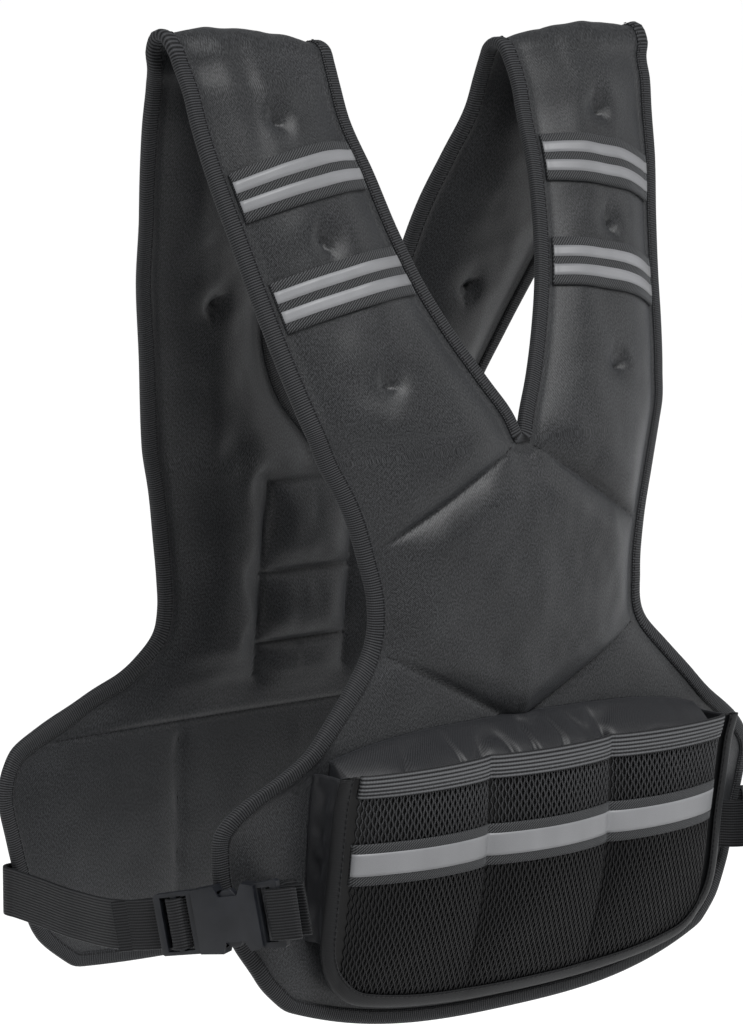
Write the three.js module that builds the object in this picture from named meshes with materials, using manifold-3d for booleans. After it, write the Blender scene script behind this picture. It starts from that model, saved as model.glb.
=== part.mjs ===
import * as THREE from 'three';
import { mergeVertices } from 'three/addons/utils/BufferGeometryUtils.js';
import Module from 'manifold-3d';

// A padded exercise vest that is worn over the shoulders. Millimetres, +Z up, front towards -Y.
// The origin is midway between the two straps, level with their undersides at the shoulder ridge.

// Overall sizes of the padded body
const FRONT_DROP = 481;
const BACK_DROP = 476;
const FRONT_REACH = 88;
const BACK_REACH = 98;
const NECK_HALF_WIDTH = 59;
const SHOULDER_HALF_WIDTH = 159;
const FRONT_WAIST_HALF_WIDTH = 89.5;
const BACK_WAIST_HALF_WIDTH = 92;
const FRONT_WING_HALF_WIDTH = 177.5;
const BACK_WING_HALF_WIDTH = 196;
const SIDE_BOW = 20;
const HEM_RISE = 19;

// Padding and quilting
const PAD_HALF = 10;
const RIM_HALF = 1.4;
const SEAM_HALF = 3.4;
const SOFT_EDGE = 30;
const SEAM_SOFTNESS = 22;
const TUFT_DEPTH = 5;
const TUFT_RADIUS = 15;

// Edge tapes
const TAPE_WIDTH = 9;
const TAPE_THICKNESS = 1;
const CLEARANCE = 0.5;
const RIM_GAP = 1.3;
const TAPE_LINE = TAPE_WIDTH + 3;

// The tight fold over the shoulder reaches this far each way along the strap
const FOLD_REACH = 25;

// Elastic keepers on the front straps, with two reflective stripes each
const KEEPER_WIDTH = 25;
const KEEPER_THICKNESS = 1.5;
const KEEPER_SLANT = 12;
const KEEPER_INSET = TAPE_WIDTH + 1.5;
const KEEPER_CLEARANCE = 0.9;
const STRIPE_WIDTH = 5.2;
const STRIPE_SPACING = 9.8;
const STRIPE_THICKNESS = 0.5;

// Pocket across the front panel
const POCKET_HALF_WIDTH = 132;
const POCKET_MOUTH_DROP = 0.715;
const POCKET_STANDOFF = 25;
const POCKET_FOOT = 7;
const POCKET_WALL = 1.5;
const POCKET_CORNER_RADIUS = 26;
const POCKET_HEM_GAP = 11;
const BAY_COUNT = 3;
const BAY_BULGE = 6;
const ELASTIC_HEM_HEIGHT = 11;
const REFLECTIVE_BAND_HEIGHT = 21;
const REFLECTIVE_BAND_DROP = 34;
const REFLECTIVE_BAND_THICKNESS = 0.8;
const LINING_SEAM_RISE = 14;
const LINING_DEPTH = 90;
const LINING_CLEARANCE = 2.2;
const GUSSET_THICKNESS = 1.5;

// Side belts and buckles
const WEBBING_WIDTH = 25;
const WEBBING_THICKNESS = 1.6;
const SEWN_GAP = 0.4;
const BELT_DROP = 0.8515;
const BACK_BELT_DROP = 0.891;
const BUCKLE_HEIGHT = 33;
const BUCKLE_THICKNESS = 8.4;
const BUCKLE_CAVITY = 5.2;
const LADDER_THICKNESS = 5;
const BUCKLE_BEND_DEG = 25.5;
const BUCKLE_TILT_DEG = 11;
const BUCKLE_CLEAR_OF_WING = 8.5;
const BUCKLE_AHEAD_OF_WING = 11;
const FRONT_BELT_RUN = 40;
const BELT_TAIL = 62;
const BACK_SEAM_IN = 48;

// Mesh density
const COLUMNS = 8;
const BAY_COLUMNS = 6;
const GUSSET_ROWS = 8;
const POCKET_EDGE_ROWS = 9;

// Colours
const KNIT = { color: 0x202124, roughness: 0.62, metalness: 0 };
const TAPE = { color: 0x161719, roughness: 0.75, metalness: 0 };
const ELASTIC = { color: 0x2b2c2f, roughness: 0.8, metalness: 0 };
const REFLECTIVE = { color: 0xa9adb2, roughness: 0.35, metalness: 0.1 };
const MESH = { color: 0x121315, roughness: 0.85, metalness: 0 };
const LINING = { color: 0x191a1d, roughness: 0.6, metalness: 0 };
const WEBBING = { color: 0x1a1b1d, roughness: 0.8, metalness: 0 };
const PLASTIC = { color: 0x1d2026, roughness: 0.45, metalness: 0 };

// Sections from the shoulder ridge to each hem.
// drop: share of the drop below the ridge, reach: share of the distance ahead of or behind it,
// bow: share of SIDE_BOW that the arm edge lies nearer the body than the middle,
// neck: share of NECK_HALF_WIDTH, arm: 0 at the waist, 1 at the shoulder or, below the waist, at the wing,
// rise: share of HEM_RISE that the section climbs at the arm edge, pad: share of PAD_HALF
const COLUMN_NAMES = ['drop', 'reach', 'bow', 'neck', 'arm', 'rise', 'pad'];
const RIDGE_SECTION = [0, 0, -0.4, 0.975, 1, 0, 0.6];
const FRONT_SECTIONS = [
  [0.004, 0.063, -0.2, 0.983, 0.978, 0, 0.6],
  [0.015, 0.102, -0.05, 0.992, 0.942, 0, 0.65],
  [0.040, 0.165, 0, 1, 0.914, 0, 0.8],
  [0.071, 0.227, 0.1, 0.983, 0.885, 0, 0.9],
  [0.127, 0.392, 0.43, 0.903, 0.813, 0, 0.95],
  [0.185, 0.523, 0.6, 0.8, 0.715, 0, 1],
  [0.237, 0.636, 0.72, 0.668, 0.633, 0, 1],
  [0.289, 0.75, 0.8, 0.475, 0.55, 0, 1],
  [0.341, 0.867, 0.9, 0.237, 0.453, 0, 1],
  [0.376, 0.938, 0.95, 0.064, 0.381, 0, 1],
  [0.399, 0.968, 1, 0, 0.332, 0, 1.05],
  [0.453, 1.005, 0.87, 0, 0.18, 0, 1.1],
  [0.509, 1, 0.7, 0, 0.065, 0, 1.1],
  [0.558, 0.985, 0.5, 0, 0, 0, 1.1],
  [0.609, 0.966, 0.4, 0, 0.045, 0, 0.95],
  [0.638, 0.955, 0.2, 0, 0.188, 0, 0.8],
  [0.669, 0.943, 0.03, 0, 0.358, 0, 0.65],
  [0.699, 0.932, -0.05, 0, 0.528, 0, 0.5],
  [0.721, 0.932, 0.1, 0, 0.71, 0, 0.45],
  [0.740, 0.932, 0.36, 0, 0.864, 0, 0.45],
  [0.765, 0.932, 0.62, 0, 0.994, 0, 0.45],
  [0.805, 0.932, 0.8, 0, 1, 0, 0.45],
  [0.846, 0.932, 0.85, 0, 0.949, 0, 0.45],
  [0.886, 0.926, 0.72, 0, 0.881, 0, 0.45],
  [0.925, 0.92, 0.52, 0, 0.778, 0.2, 0.45],
  [0.967, 0.92, 0.48, 0, 0.7, 0.74, 0.45],
  [1, 0.91, 0.45, 0, 0.574, 1, 0.45],
];
const BACK_SECTIONS = [
  [0.004, 0.056, -0.2, 0.98, 0.985, 0, 0.6],
  [0.015, 0.097, 0.05, 0.99, 0.97, 0, 0.65],
  [0.036, 0.148, 0.05, 1, 0.963, 0, 0.8],
  [0.069, 0.199, 0.08, 0.975, 0.955, 0, 0.9],
  [0.120, 0.316, 0.2, 0.839, 0.873, 0, 0.95],
  [0.172, 0.449, 0.45, 0.712, 0.791, 0, 1],
  [0.240, 0.587, 0.48, 0.639, 0.642, 0, 1],
  [0.334, 0.673, 0.05, 0.551, 0.433, 0, 1],
  [0.387, 0.709, -0.25, 0.33, 0.321, 0, 1],
  [0.412, 0.73, -0.33, 0.161, 0.276, 0, 1],
  [0.435, 0.755, -0.35, 0, 0.236, 0, 1],
  [0.485, 0.816, -0.3, 0, 0.119, 0, 1],
  [0.534, 0.857, -0.3, 0, 0.037, 0, 1],
  [0.582, 0.888, -0.15, 0, 0.004, 0, 1],
  [0.612, 0.907, -0.05, 0, 0, 0, 1],
  [0.641, 0.918, 0, 0, 0.038, 0, 1],
  [0.662, 0.929, 0, 0, 0.13, 0, 1],
  [0.681, 0.939, -0.05, 0, 0.245, 0, 0.8],
  [0.695, 0.949, 0, 0, 0.413, 0, 0.7],
  [0.710, 0.949, 0, 0, 0.567, 0, 0.55],
  [0.725, 0.954, 0.18, 0, 0.76, 0, 0.45],
  [0.737, 0.959, 0.3, 0, 0.889, 0, 0.45],
  [0.754, 0.964, 0.4, 0, 0.96, 0, 0.45],
  [0.779, 0.969, 0.45, 0, 1, 0, 0.45],
  [0.834, 0.98, 0.5, 0, 0.96, 0, 0.45],
  [0.880, 0.987, 0.5, 0, 0.9, 0, 0.45],
  [0.943, 0.995, 0.48, 0, 0.79, 0, 0.45],
  [0.977, 1, 0.43, 0, 0.688, 0.3, 0.45],
  [1, 1, 0.4, 0, 0.548, 0.3, 0.45],
];

// Quilting seams: each point is a drop share and a share of the waist's half width
const FRONT_SEAMS = [
  [[0.399, 0], [0.505, 1]],
  [[0.603, 1], [0.697, 0]],
];
const BACK_SEAMS = [
  [[0.477, 0], [0.477, 0.33]],
  [[0.582, 0], [0.582, 0.33]],
  [[0.662, 0], [0.662, 0.33]],
  [[0.477, 0.33], [0.7, 0.33]],
  [[0.737, 0], [0.737, 1.9]],
  [[0.737, 0.87], [0.96, 0.87]],
];

// Tufts: drop share and share of the way from the neck edge to the arm edge
const FRONT_TUFTS = [[0.077, 0.53], [0.193, 0.53], [0.335, 0.57]];
const BACK_TUFTS = [[0.267, 0.49]];

// Keepers: drop share of the upper edge at the outer end
const KEEPER_DROPS = [0.118, 0.224];

const lerp = (a, b, t) => a + (b - a) * t;
const clamp01 = (t) => Math.min(1, Math.max(0, t));
const swell = (t) => 1 - (1 - clamp01(t)) ** 2;

// The section table as a chain of stations. v is the distance from the ridge along the middle
// of the padding, positive to the front and negative to the back.
function makeStation(row, side) {
  const shares = Object.fromEntries(COLUMN_NAMES.map((name, i) => [name, row[i]]));
  return {
    y: side * shares.reach * (side < 0 ? FRONT_REACH : BACK_REACH),
    drop: shares.drop * (side < 0 ? FRONT_DROP : BACK_DROP),
    bow: shares.bow * SIDE_BOW,
    neck: shares.neck * NECK_HALF_WIDTH,
    armShare: shares.arm,
    rise: shares.rise * HEM_RISE,
    pad: shares.pad * PAD_HALF,
  };
}

function setArmWidths(chain, waistHalf, wingHalf) {
  const waist = chain.reduce((best, s, i) => (s.armShare < chain[best].armShare ? i : best), 0);
  chain.forEach((s, i) => {
    s.arm = lerp(waistHalf, i <= waist ? SHOULDER_HALF_WIDTH : wingHalf, s.armShare);
  });
}

function makeStations() {
  const ridge = makeStation(RIDGE_SECTION, 1);
  const front = FRONT_SECTIONS.map((row) => makeStation(row, -1));
  const back = BACK_SECTIONS.map((row) => makeStation(row, 1));
  setArmWidths([ridge, ...back], BACK_WAIST_HALF_WIDTH, BACK_WING_HALF_WIDTH);
  setArmWidths([ridge, ...front], FRONT_WAIST_HALF_WIDTH, FRONT_WING_HALF_WIDTH);
  const strapMiddle = (ridge.neck + ridge.arm) / 2;
  const ridgeHeight = ridge.pad + ridge.bow * (strapMiddle / ridge.arm) ** 2;
  const chain = [...back.reverse(), ridge, ...front];
  const ridgeIndex = back.length;
  chain.forEach((s) => {
    s.z = ridgeHeight - s.drop;
  });
  chain[ridgeIndex].v = 0;
  for (let i = ridgeIndex + 1; i < chain.length; i += 1) {
    chain[i].v = chain[i - 1].v + gap2(chain[i - 1], chain[i]);
  }
  for (let i = ridgeIndex - 1; i >= 0; i -= 1) {
    chain[i].v = chain[i + 1].v - gap2(chain[i + 1], chain[i]);
  }
  chain.forEach((s, i) => {
    const before = chain[Math.max(0, i - 1)];
    const after = chain[Math.min(chain.length - 1, i + 1)];
    const length = gap2(before, after);
    s.ny = (after.z - before.z) / length;
    s.nz = (before.y - after.y) / length;
  });
  return chain;
}

function gap2(a, b) {
  return Math.hypot(a.y - b.y, a.z - b.z);
}

const STATIONS = makeStations();
const FRONT_HEM_V = STATIONS[STATIONS.length - 1].v;
const BACK_HEM_V = STATIONS[0].v;
const FIELDS = ['y', 'z', 'ny', 'nz', 'bow', 'neck', 'arm', 'rise', 'pad'];

// The section at v, also a little past either hem
function stationAt(v) {
  let i = 0;
  while (i < STATIONS.length - 2 && STATIONS[i + 1].v < v) {
    i += 1;
  }
  const [a, b] = [STATIONS[i], STATIONS[i + 1]];
  const t = (v - a.v) / (b.v - a.v);
  return Object.fromEntries(FIELDS.map((name) => [name, lerp(a[name], b[name], t)]));
}

// The point at distance v along the vest, x to the side and n out from the middle of the padding
function place(v, x, n) {
  const s = stationAt(v);
  const out = (n - s.bow * (x / s.arm) ** 2) / Math.hypot(s.ny, s.nz);
  return new THREE.Vector3(x, s.y + s.ny * out, s.z + s.nz * out);
}

// v of a drop share on the front (side 1) or the back (side -1)
function vAtDrop(side, drop) {
  const rows = side > 0 ? FRONT_SECTIONS : BACK_SECTIONS;
  const chain = side > 0
    ? STATIONS.slice(BACK_SECTIONS.length)
    : STATIONS.slice(0, BACK_SECTIONS.length + 1).reverse();
  const drops = [0, ...rows.map((row) => row[0])];
  const i = Math.max(1, drops.findIndex((d) => d >= drop));
  return lerp(chain[i - 1].v, chain[i].v, (drop - drops[i - 1]) / (drops[i] - drops[i - 1]));
}

const FRONT_NOTCH_V = vAtDrop(1, FRONT_SECTIONS.find((row) => row[3] === 0)[0]);
const BACK_NOTCH_V = vAtDrop(-1, BACK_SECTIONS.find((row) => row[3] === 0)[0]);

// How far the hem curves up at x
function riseAt(s, x) {
  return s.rise * (Math.abs(x) / s.arm) ** 3;
}

function frontHemV(x) {
  return FRONT_HEM_V - riseAt(stationAt(FRONT_HEM_V), x);
}

function backHemV(x) {
  return BACK_HEM_V + riseAt(stationAt(BACK_HEM_V), x);
}

function distanceToSegment(p, a, b) {
  const [dx, dy] = [b[0] - a[0], b[1] - a[1]];
  const t = clamp01(((p[0] - a[0]) * dx + (p[1] - a[1]) * dy) / (dx * dx + dy * dy));
  return Math.hypot(p[0] - a[0] - t * dx, p[1] - a[1] - t * dy);
}

function flatSeams(seams, side, waistHalf) {
  return seams.map((points) => points.map(([drop, share]) => [vAtDrop(side, drop), share * waistHalf]));
}

function flatTufts(tufts, side) {
  return tufts.map(([drop, share]) => {
    const v = vAtDrop(side, drop);
    const s = stationAt(v);
    return [v, lerp(s.neck, s.arm, share)];
  });
}

const SEAMS = [
  ...flatSeams(FRONT_SEAMS, 1, FRONT_WAIST_HALF_WIDTH),
  ...flatSeams(BACK_SEAMS, -1, BACK_WAIST_HALF_WIDTH),
];
const TUFTS = [...flatTufts(FRONT_TUFTS, 1), ...flatTufts(BACK_TUFTS, -1)];

// The arm edge and the neck edge of one side in the flat pattern
const ARM_EDGE = STATIONS.map((s) => [s.v + s.rise * (s.v < 0 ? 1 : -1), s.arm]);
const NECK_EDGE = STATIONS.filter((s) => s.v >= BACK_NOTCH_V - 1 && s.v <= FRONT_NOTCH_V + 1)
  .map((s) => [s.v, s.neck]);

function distanceToChain(p, chain) {
  let nearest = Infinity;
  for (let i = 1; i < chain.length; i += 1) {
    nearest = Math.min(nearest, distanceToSegment(p, chain[i - 1], chain[i]));
  }
  return nearest;
}

// Distance in the flat pattern from (v, x) to the nearest bound edge
function edgeDistance(v, x) {
  const side = Math.abs(x);
  const toHem = Math.min(frontHemV(x) - v, v - backHemV(x));
  const below = Math.max(v - FRONT_NOTCH_V, BACK_NOTCH_V - v);
  const toNeck = below > 0 ? Math.max(side * 0.9, below) : distanceToChain([v, side], NECK_EDGE);
  return Math.min(distanceToChain([v, side], ARM_EDGE), toHem, toNeck);
}

// Where a row reaches a given distance from a chain, going from one side position to another
function sideAtDistance(v, chain, distance, from, to) {
  let [near, far] = [0, 1];
  for (let i = 0; i < 20; i += 1) {
    const t = (near + far) / 2;
    if (distanceToChain([v, lerp(from, to, t)], chain) < distance) {
      near = t;
    } else {
      far = t;
    }
  }
  return lerp(from, to, far);
}

// Half the thickness of the padding, with its seams and tufts drawn in
function halfPad(v, x) {
  const s = stationAt(v);
  const side = Math.abs(x);
  const edge = swell((edgeDistance(v, x) - TAPE_LINE) / SOFT_EDGE);
  let half = lerp(RIM_HALF, s.pad, edge);
  for (const [a, b] of SEAMS) {
    const reach = swell(distanceToSegment([v, side], a, b) / SEAM_SOFTNESS);
    half = Math.min(half, lerp(SEAM_HALF, Math.max(SEAM_HALF, s.pad), reach));
  }
  for (const [tuftV, tuftX] of TUFTS) {
    const r = Math.hypot(v - tuftV, side - tuftX) / TUFT_RADIUS;
    half -= Math.min(TUFT_DEPTH, half - RIM_HALF) * Math.exp(-r * r * 2) * (half > RIM_HALF ? 1 : 0);
  }
  return half;
}

// A mesh from shared points and a list of quads and triangles
class Body {
  constructor() {
    this.points = [];
    this.faces = [];
  }

  add(point) {
    this.points.push(point.x, point.y, point.z);
    return this.points.length / 3 - 1;
  }

  quad(a, b, c, d) {
    this.faces.push(a, b, c, a, c, d);
  }

  geometry() {
    const geometry = new THREE.BufferGeometry();
    geometry.setAttribute('position', new THREE.Float32BufferAttribute(this.points, 3));
    geometry.setIndex(this.faces);
    return geometry;
  }
}

function signedVolume(geometry) {
  const p = geometry.getAttribute('position');
  const index = geometry.getIndex();
  const [a, b, c] = [new THREE.Vector3(), new THREE.Vector3(), new THREE.Vector3()];
  let volume = 0;
  for (let i = 0; i < index.count; i += 3) {
    a.fromBufferAttribute(p, index.getX(i));
    b.fromBufferAttribute(p, index.getX(i + 1));
    c.fromBufferAttribute(p, index.getX(i + 2));
    volume += a.dot(b.cross(c)) / 6;
  }
  return volume;
}

// Turns a closed body's faces outwards
function facingOut(geometry) {
  if (signedVolume(geometry) < 0) {
    const index = geometry.getIndex();
    for (let i = 0; i < index.count; i += 3) {
      const first = index.getX(i);
      index.setX(i, index.getX(i + 2));
      index.setX(i + 2, first);
    }
  }
  return geometry;
}

function finished(geometry) {
  const solid = facingOut(geometry);
  solid.computeVertexNormals();
  return solid;
}

function mirrored(geometry) {
  const copy = geometry.clone();
  copy.scale(-1, 1, 1);
  return finished(copy);
}

// A closed body from rings of points: one ring per station, capped or joined end to end
function loft(rings, closed) {
  const body = new Body();
  const ids = rings.map((ring) => ring.map((point) => body.add(point)));
  const size = rings[0].length;
  const spans = closed ? rings.length : rings.length - 1;
  for (let i = 0; i < spans; i += 1) {
    const next = ids[(i + 1) % rings.length];
    for (let j = 0; j < size; j += 1) {
      const k = (j + 1) % size;
      body.quad(ids[i][j], ids[i][k], next[k], next[j]);
    }
  }
  if (!closed) {
    capRing(body, ids[0], true);
    capRing(body, ids[ids.length - 1], false);
  }
  return finished(body.geometry());
}

// A cap across a ring whose two halves run beside each other
function capRing(body, ring, flipped) {
  const size = ring.length;
  for (let j = 0; j < size / 2 - 1; j += 1) {
    const corners = [ring[j], ring[j + 1], ring[size - 2 - j], ring[size - 1 - j]];
    body.quad(...(flipped ? corners.reverse() : corners));
  }
}

// A sheet over a grid of the flat pattern, between two heights above the middle of the padding
function sheet(grid, inner, outer) {
  const rings = grid.map((row) => [
    ...row.map(([v, x]) => place(v, x, outer(v, x))),
    ...row.map(([v, x]) => place(v, x, inner(v, x))).reverse(),
  ]);
  return loft(rings, false);
}

// The rows of the padded body's grid: every station, and a line beside each hem and notch
function shellRows() {
  const besideNotches = [FRONT_NOTCH_V + TAPE_LINE, BACK_NOTCH_V - TAPE_LINE];
  const besideHems = [FRONT_HEM_V - TAPE_LINE, BACK_HEM_V + TAPE_LINE];
  return [...STATIONS.map((s) => s.v), ...besideNotches, ...besideHems].sort((a, b) => a - b);
}

function seamCrossings(v) {
  return SEAMS.filter(([a, b]) => (v - a[0]) * (v - b[0]) < 0)
    .map(([a, b]) => lerp(a[1], b[1], (v - a[0]) / (b[0] - a[0])));
}

// Side positions of one row's grid points, with one drawn onto each seam that the row crosses
function shellColumns(v) {
  const s = stationAt(v);
  const inStraps = v <= FRONT_NOTCH_V && v >= BACK_NOTCH_V;
  const armLine = sideAtDistance(v, ARM_EDGE, TAPE_LINE, s.arm, s.neck);
  const neckLine = sideAtDistance(v, NECK_EDGE, TAPE_LINE, s.neck, s.arm);
  const first = inStraps ? neckLine : armLine / (COLUMNS - 1);
  const xs = [inStraps ? s.neck : 0];
  for (let j = 0; j <= COLUMNS - 2; j += 1) {
    xs.push(lerp(first, armLine, j / (COLUMNS - 2)));
  }
  xs.push(s.arm);
  for (const x of seamCrossings(v)) {
    const spacing = (armLine - first) / (COLUMNS - 2);
    const nearest = Math.round((x - first) / spacing) + 1;
    if (nearest >= 1 && nearest < COLUMNS - 1) {
      xs[nearest] = x;
    }
  }
  return xs;
}

function paddedShell() {
  const rows = shellRows();
  const body = new Body();
  const layers = { 1: [], '-1': [] };
  for (const v of rows) {
    const xs = shellColumns(v);
    const s = stationAt(v);
    const pointIds = (side, face) => xs.map((x) => {
      const rowV = v + riseAt(s, x) * (v < 0 ? 1 : -1);
      return body.add(place(rowV, side * x, face * halfPad(rowV, x)));
    });
    const right = { front: pointIds(1, 1), behind: pointIds(1, -1) };
    const left = { front: pointIds(-1, 1), behind: pointIds(-1, -1) };
    if (v >= FRONT_NOTCH_V || v <= BACK_NOTCH_V) {
      left.front[0] = right.front[0];
      left.behind[0] = right.behind[0];
    }
    layers[1].push(right);
    layers[-1].push(left);
  }
  const inStraps = (i) => rows[i] >= BACK_NOTCH_V && rows[i + 1] <= FRONT_NOTCH_V;
  for (const side of [1, -1]) {
    joinShellSide(body, layers[side], side, inStraps);
  }
  return finished(mergeVertices(body.geometry(), 1e-5));
}

function joinShellSide(body, layers, side, inStraps) {
  const put = (a, b, c, d) => (side > 0 ? body.quad(a, b, c, d) : body.quad(d, c, b, a));
  const last = COLUMNS;
  for (let i = 0; i < layers.length - 1; i += 1) {
    const [low, high] = [layers[i], layers[i + 1]];
    for (let j = 0; j < last; j += 1) {
      put(low.front[j], low.front[j + 1], high.front[j + 1], high.front[j]);
      put(low.behind[j + 1], low.behind[j], high.behind[j], high.behind[j + 1]);
    }
    put(low.front[last], low.behind[last], high.behind[last], high.front[last]);
    if (inStraps(i)) {
      put(low.behind[0], low.front[0], high.front[0], high.behind[0]);
    }
  }
  const [first, end] = [layers[0], layers[layers.length - 1]];
  for (let j = 0; j < last; j += 1) {
    put(first.behind[j], first.behind[j + 1], first.front[j + 1], first.front[j]);
    put(end.front[j], end.front[j + 1], end.behind[j + 1], end.behind[j]);
  }
}

// A tape folded over an edge. The edge is a chain of flat points; inward is found from its
// neighbours, and middle gives the height of the edge's own middle.
function foldedTape(edge, closed, turn, middle, halfGap) {
  const count = edge.length;
  const neighbour = (i) => (closed ? edge[(i + count) % count] : edge[Math.min(count - 1, Math.max(0, i))]);
  const rings = edge.map(([v, x], i) => {
    const [a, b] = [neighbour(i - 1), neighbour(i + 1)];
    const slant = clamp01((Math.abs(v) - FOLD_REACH) / FOLD_REACH) * -turn * (b[1] - a[1]);
    const sideways = turn * (b[0] - a[0]);
    const length = Math.hypot(slant, sideways);
    const inward = [slant / length, sideways / length];
    const at = (distance, height) => {
      const [pv, px] = [v + inward[0] * distance, x + inward[1] * distance];
      return place(pv, px, middle(pv, px) + height);
    };
    const outerHalf = halfGap + TAPE_THICKNESS;
    return [
      at(TAPE_WIDTH, outerHalf),
      at(-CLEARANCE - TAPE_THICKNESS, outerHalf * 0.8),
      at(-CLEARANCE - TAPE_THICKNESS, -outerHalf * 0.8),
      at(TAPE_WIDTH, -outerHalf),
      at(TAPE_WIDTH, -halfGap),
      at(-CLEARANCE, -halfGap),
      at(-CLEARANCE, halfGap),
      at(TAPE_WIDTH, halfGap),
    ];
  });
  return rings;
}

function hemPoints(hemV, side) {
  const xs = shellColumns(side > 0 ? FRONT_HEM_V : BACK_HEM_V);
  const points = xs.slice(0, -1).map((x) => [hemV(x), x]);
  return [...points.slice(1).reverse().map(([v, x]) => [v, -x]), ...points];
}

// The body's outer edge, from the front hem up one side, over the shoulder and down the back
function outerEdge() {
  const rows = shellRows();
  const arm = (v) => {
    const s = stationAt(v);
    return [v + s.rise * (v < 0 ? 1 : -1), s.arm];
  };
  const rightArm = rows.map(arm).reverse();
  const leftArm = rows.map(arm).map(([v, x]) => [v, -x]);
  return [...hemPoints(frontHemV, 1), ...rightArm, ...hemPoints(backHemV, -1).reverse(), ...leftArm];
}

function neckEdge() {
  const rows = shellRows().filter((v) => v <= FRONT_NOTCH_V && v >= BACK_NOTCH_V);
  const right = rows.map((v) => [v, stationAt(v).neck]);
  const left = right.slice(1, -1).map(([v, x]) => [v, -x]).reverse();
  return [...right, ...left];
}

function bodyBinding(edge) {
  return loft(foldedTape(edge, true, 1, () => 0, RIM_HALF + RIM_GAP), true);
}

// Elastic keepers, slanted across a front strap between its two tapes
function keeperGrid(drop, from, to, rowCount) {
  const start = vAtDrop(1, drop);
  const grid = [];
  for (let i = 0; i <= rowCount; i += 1) {
    const across = lerp(from, to, i / rowCount);
    const row = [];
    for (let j = 0; j <= COLUMNS - 2; j += 1) {
      const share = j / (COLUMNS - 2);
      const v = start - KEEPER_SLANT * (1 - share) + across;
      const s = stationAt(v);
      const inner = sideAtDistance(v, NECK_EDGE, KEEPER_INSET, s.neck, s.arm);
      const outer = sideAtDistance(v, ARM_EDGE, KEEPER_INSET, s.arm, s.neck);
      row.push([v, lerp(inner, outer, share)]);
    }
    grid.push(row);
  }
  return grid;
}

const keeperBase = (v, x) => halfPad(v, x) + KEEPER_CLEARANCE;

function keeper(drop) {
  const grid = keeperGrid(drop, 0, KEEPER_WIDTH, 4);
  return sheet(grid, keeperBase, (v, x) => keeperBase(v, x) + KEEPER_THICKNESS);
}

function keeperStripe(drop, index) {
  const middle = KEEPER_WIDTH / 2 + (index - 0.5) * STRIPE_SPACING;
  const grid = keeperGrid(drop, middle - STRIPE_WIDTH / 2, middle + STRIPE_WIDTH / 2, 1);
  const base = (v, x) => keeperBase(v, x) + KEEPER_THICKNESS + CLEARANCE;
  return sheet(grid, base, (v, x) => base(v, x) + STRIPE_THICKNESS);
}

// The pocket's front wall stands off the panel, swells in bays and closes towards its foot
const POCKET_MOUTH_V = vAtDrop(1, POCKET_MOUTH_DROP);
const BAYS_HALF_WIDTH = POCKET_HALF_WIDTH - TAPE_WIDTH - 1;

function pocketFootV(x) {
  const past = Math.max(0, Math.abs(x) - (POCKET_HALF_WIDTH - POCKET_CORNER_RADIUS));
  const corner = POCKET_CORNER_RADIUS - Math.sqrt(Math.max(0, POCKET_CORNER_RADIUS ** 2 - past ** 2));
  return frontHemV(x) - POCKET_HEM_GAP - corner;
}

function bayShare(x) {
  const bays = clamp01((x + BAYS_HALF_WIDTH) / (2 * BAYS_HALF_WIDTH)) * BAY_COUNT;
  return Math.sin(Math.PI * (bays - Math.min(BAY_COUNT - 1, Math.floor(bays)))) ** 0.7;
}

function pocketHeight(v, x) {
  const down = clamp01((v - POCKET_MOUTH_V) / (FRONT_HEM_V - POCKET_HEM_GAP - POCKET_MOUTH_V));
  const side = lerp(POCKET_STANDOFF, POCKET_FOOT, down ** 2.6);
  const bulge = BAY_BULGE * (0.45 + 0.55 * Math.sin(Math.PI * Math.min(1, down + 0.25)));
  return side + bulge * bayShare(x) * (1 - down ** 6);
}

function bayColumns() {
  const count = BAY_COUNT * BAY_COLUMNS;
  return Array.from({ length: count + 1 }, (_, j) => BAYS_HALF_WIDTH * ((2 * j) / count - 1));
}

function pocketGrid(columns, topV, bottomV, rowCount) {
  return Array.from({ length: rowCount + 1 }, (_, i) => (
    columns.map((x) => [lerp(topV(x), bottomV(x), i / rowCount), x])
  ));
}

const pocketMouth = () => POCKET_MOUTH_V;
const wallColumns = () => [-POCKET_HALF_WIDTH, ...bayColumns(), POCKET_HALF_WIDTH];

function pocketMesh() {
  const grid = pocketGrid(wallColumns(), pocketMouth, pocketFootV, 9);
  return sheet(grid, pocketHeight, (v, x) => pocketHeight(v, x) + POCKET_WALL);
}

function pocketStrip(fromMouth, height, thickness, rowCount) {
  const grid = pocketGrid(
    bayColumns(),
    () => POCKET_MOUTH_V + fromMouth,
    () => POCKET_MOUTH_V + fromMouth + height,
    rowCount,
  );
  const base = (v, x) => pocketHeight(v, x) + POCKET_WALL + CLEARANCE;
  return sheet(grid, base, (v, x) => base(v, x) + thickness);
}

function pocketEdge() {
  const rows = Array.from({ length: POCKET_EDGE_ROWS + 1 }, (_, i) => i / POCKET_EDGE_ROWS);
  const side = (x) => rows.map((t) => [lerp(POCKET_MOUTH_V, pocketFootV(x), t), x]);
  const foot = bayColumns().map((x) => [pocketFootV(x), x]);
  return [...side(-POCKET_HALF_WIDTH), ...foot, ...side(POCKET_HALF_WIDTH).reverse()];
}

function pocketBinding() {
  const middle = (v, x) => {
    const inside = Math.min(POCKET_HALF_WIDTH, Math.abs(x)) * Math.sign(x);
    return pocketHeight(v, inside) + POCKET_WALL / 2;
  };
  return loft(foldedTape(pocketEdge(), false, 1, middle, POCKET_WALL / 2 + RIM_GAP), false);
}

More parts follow.
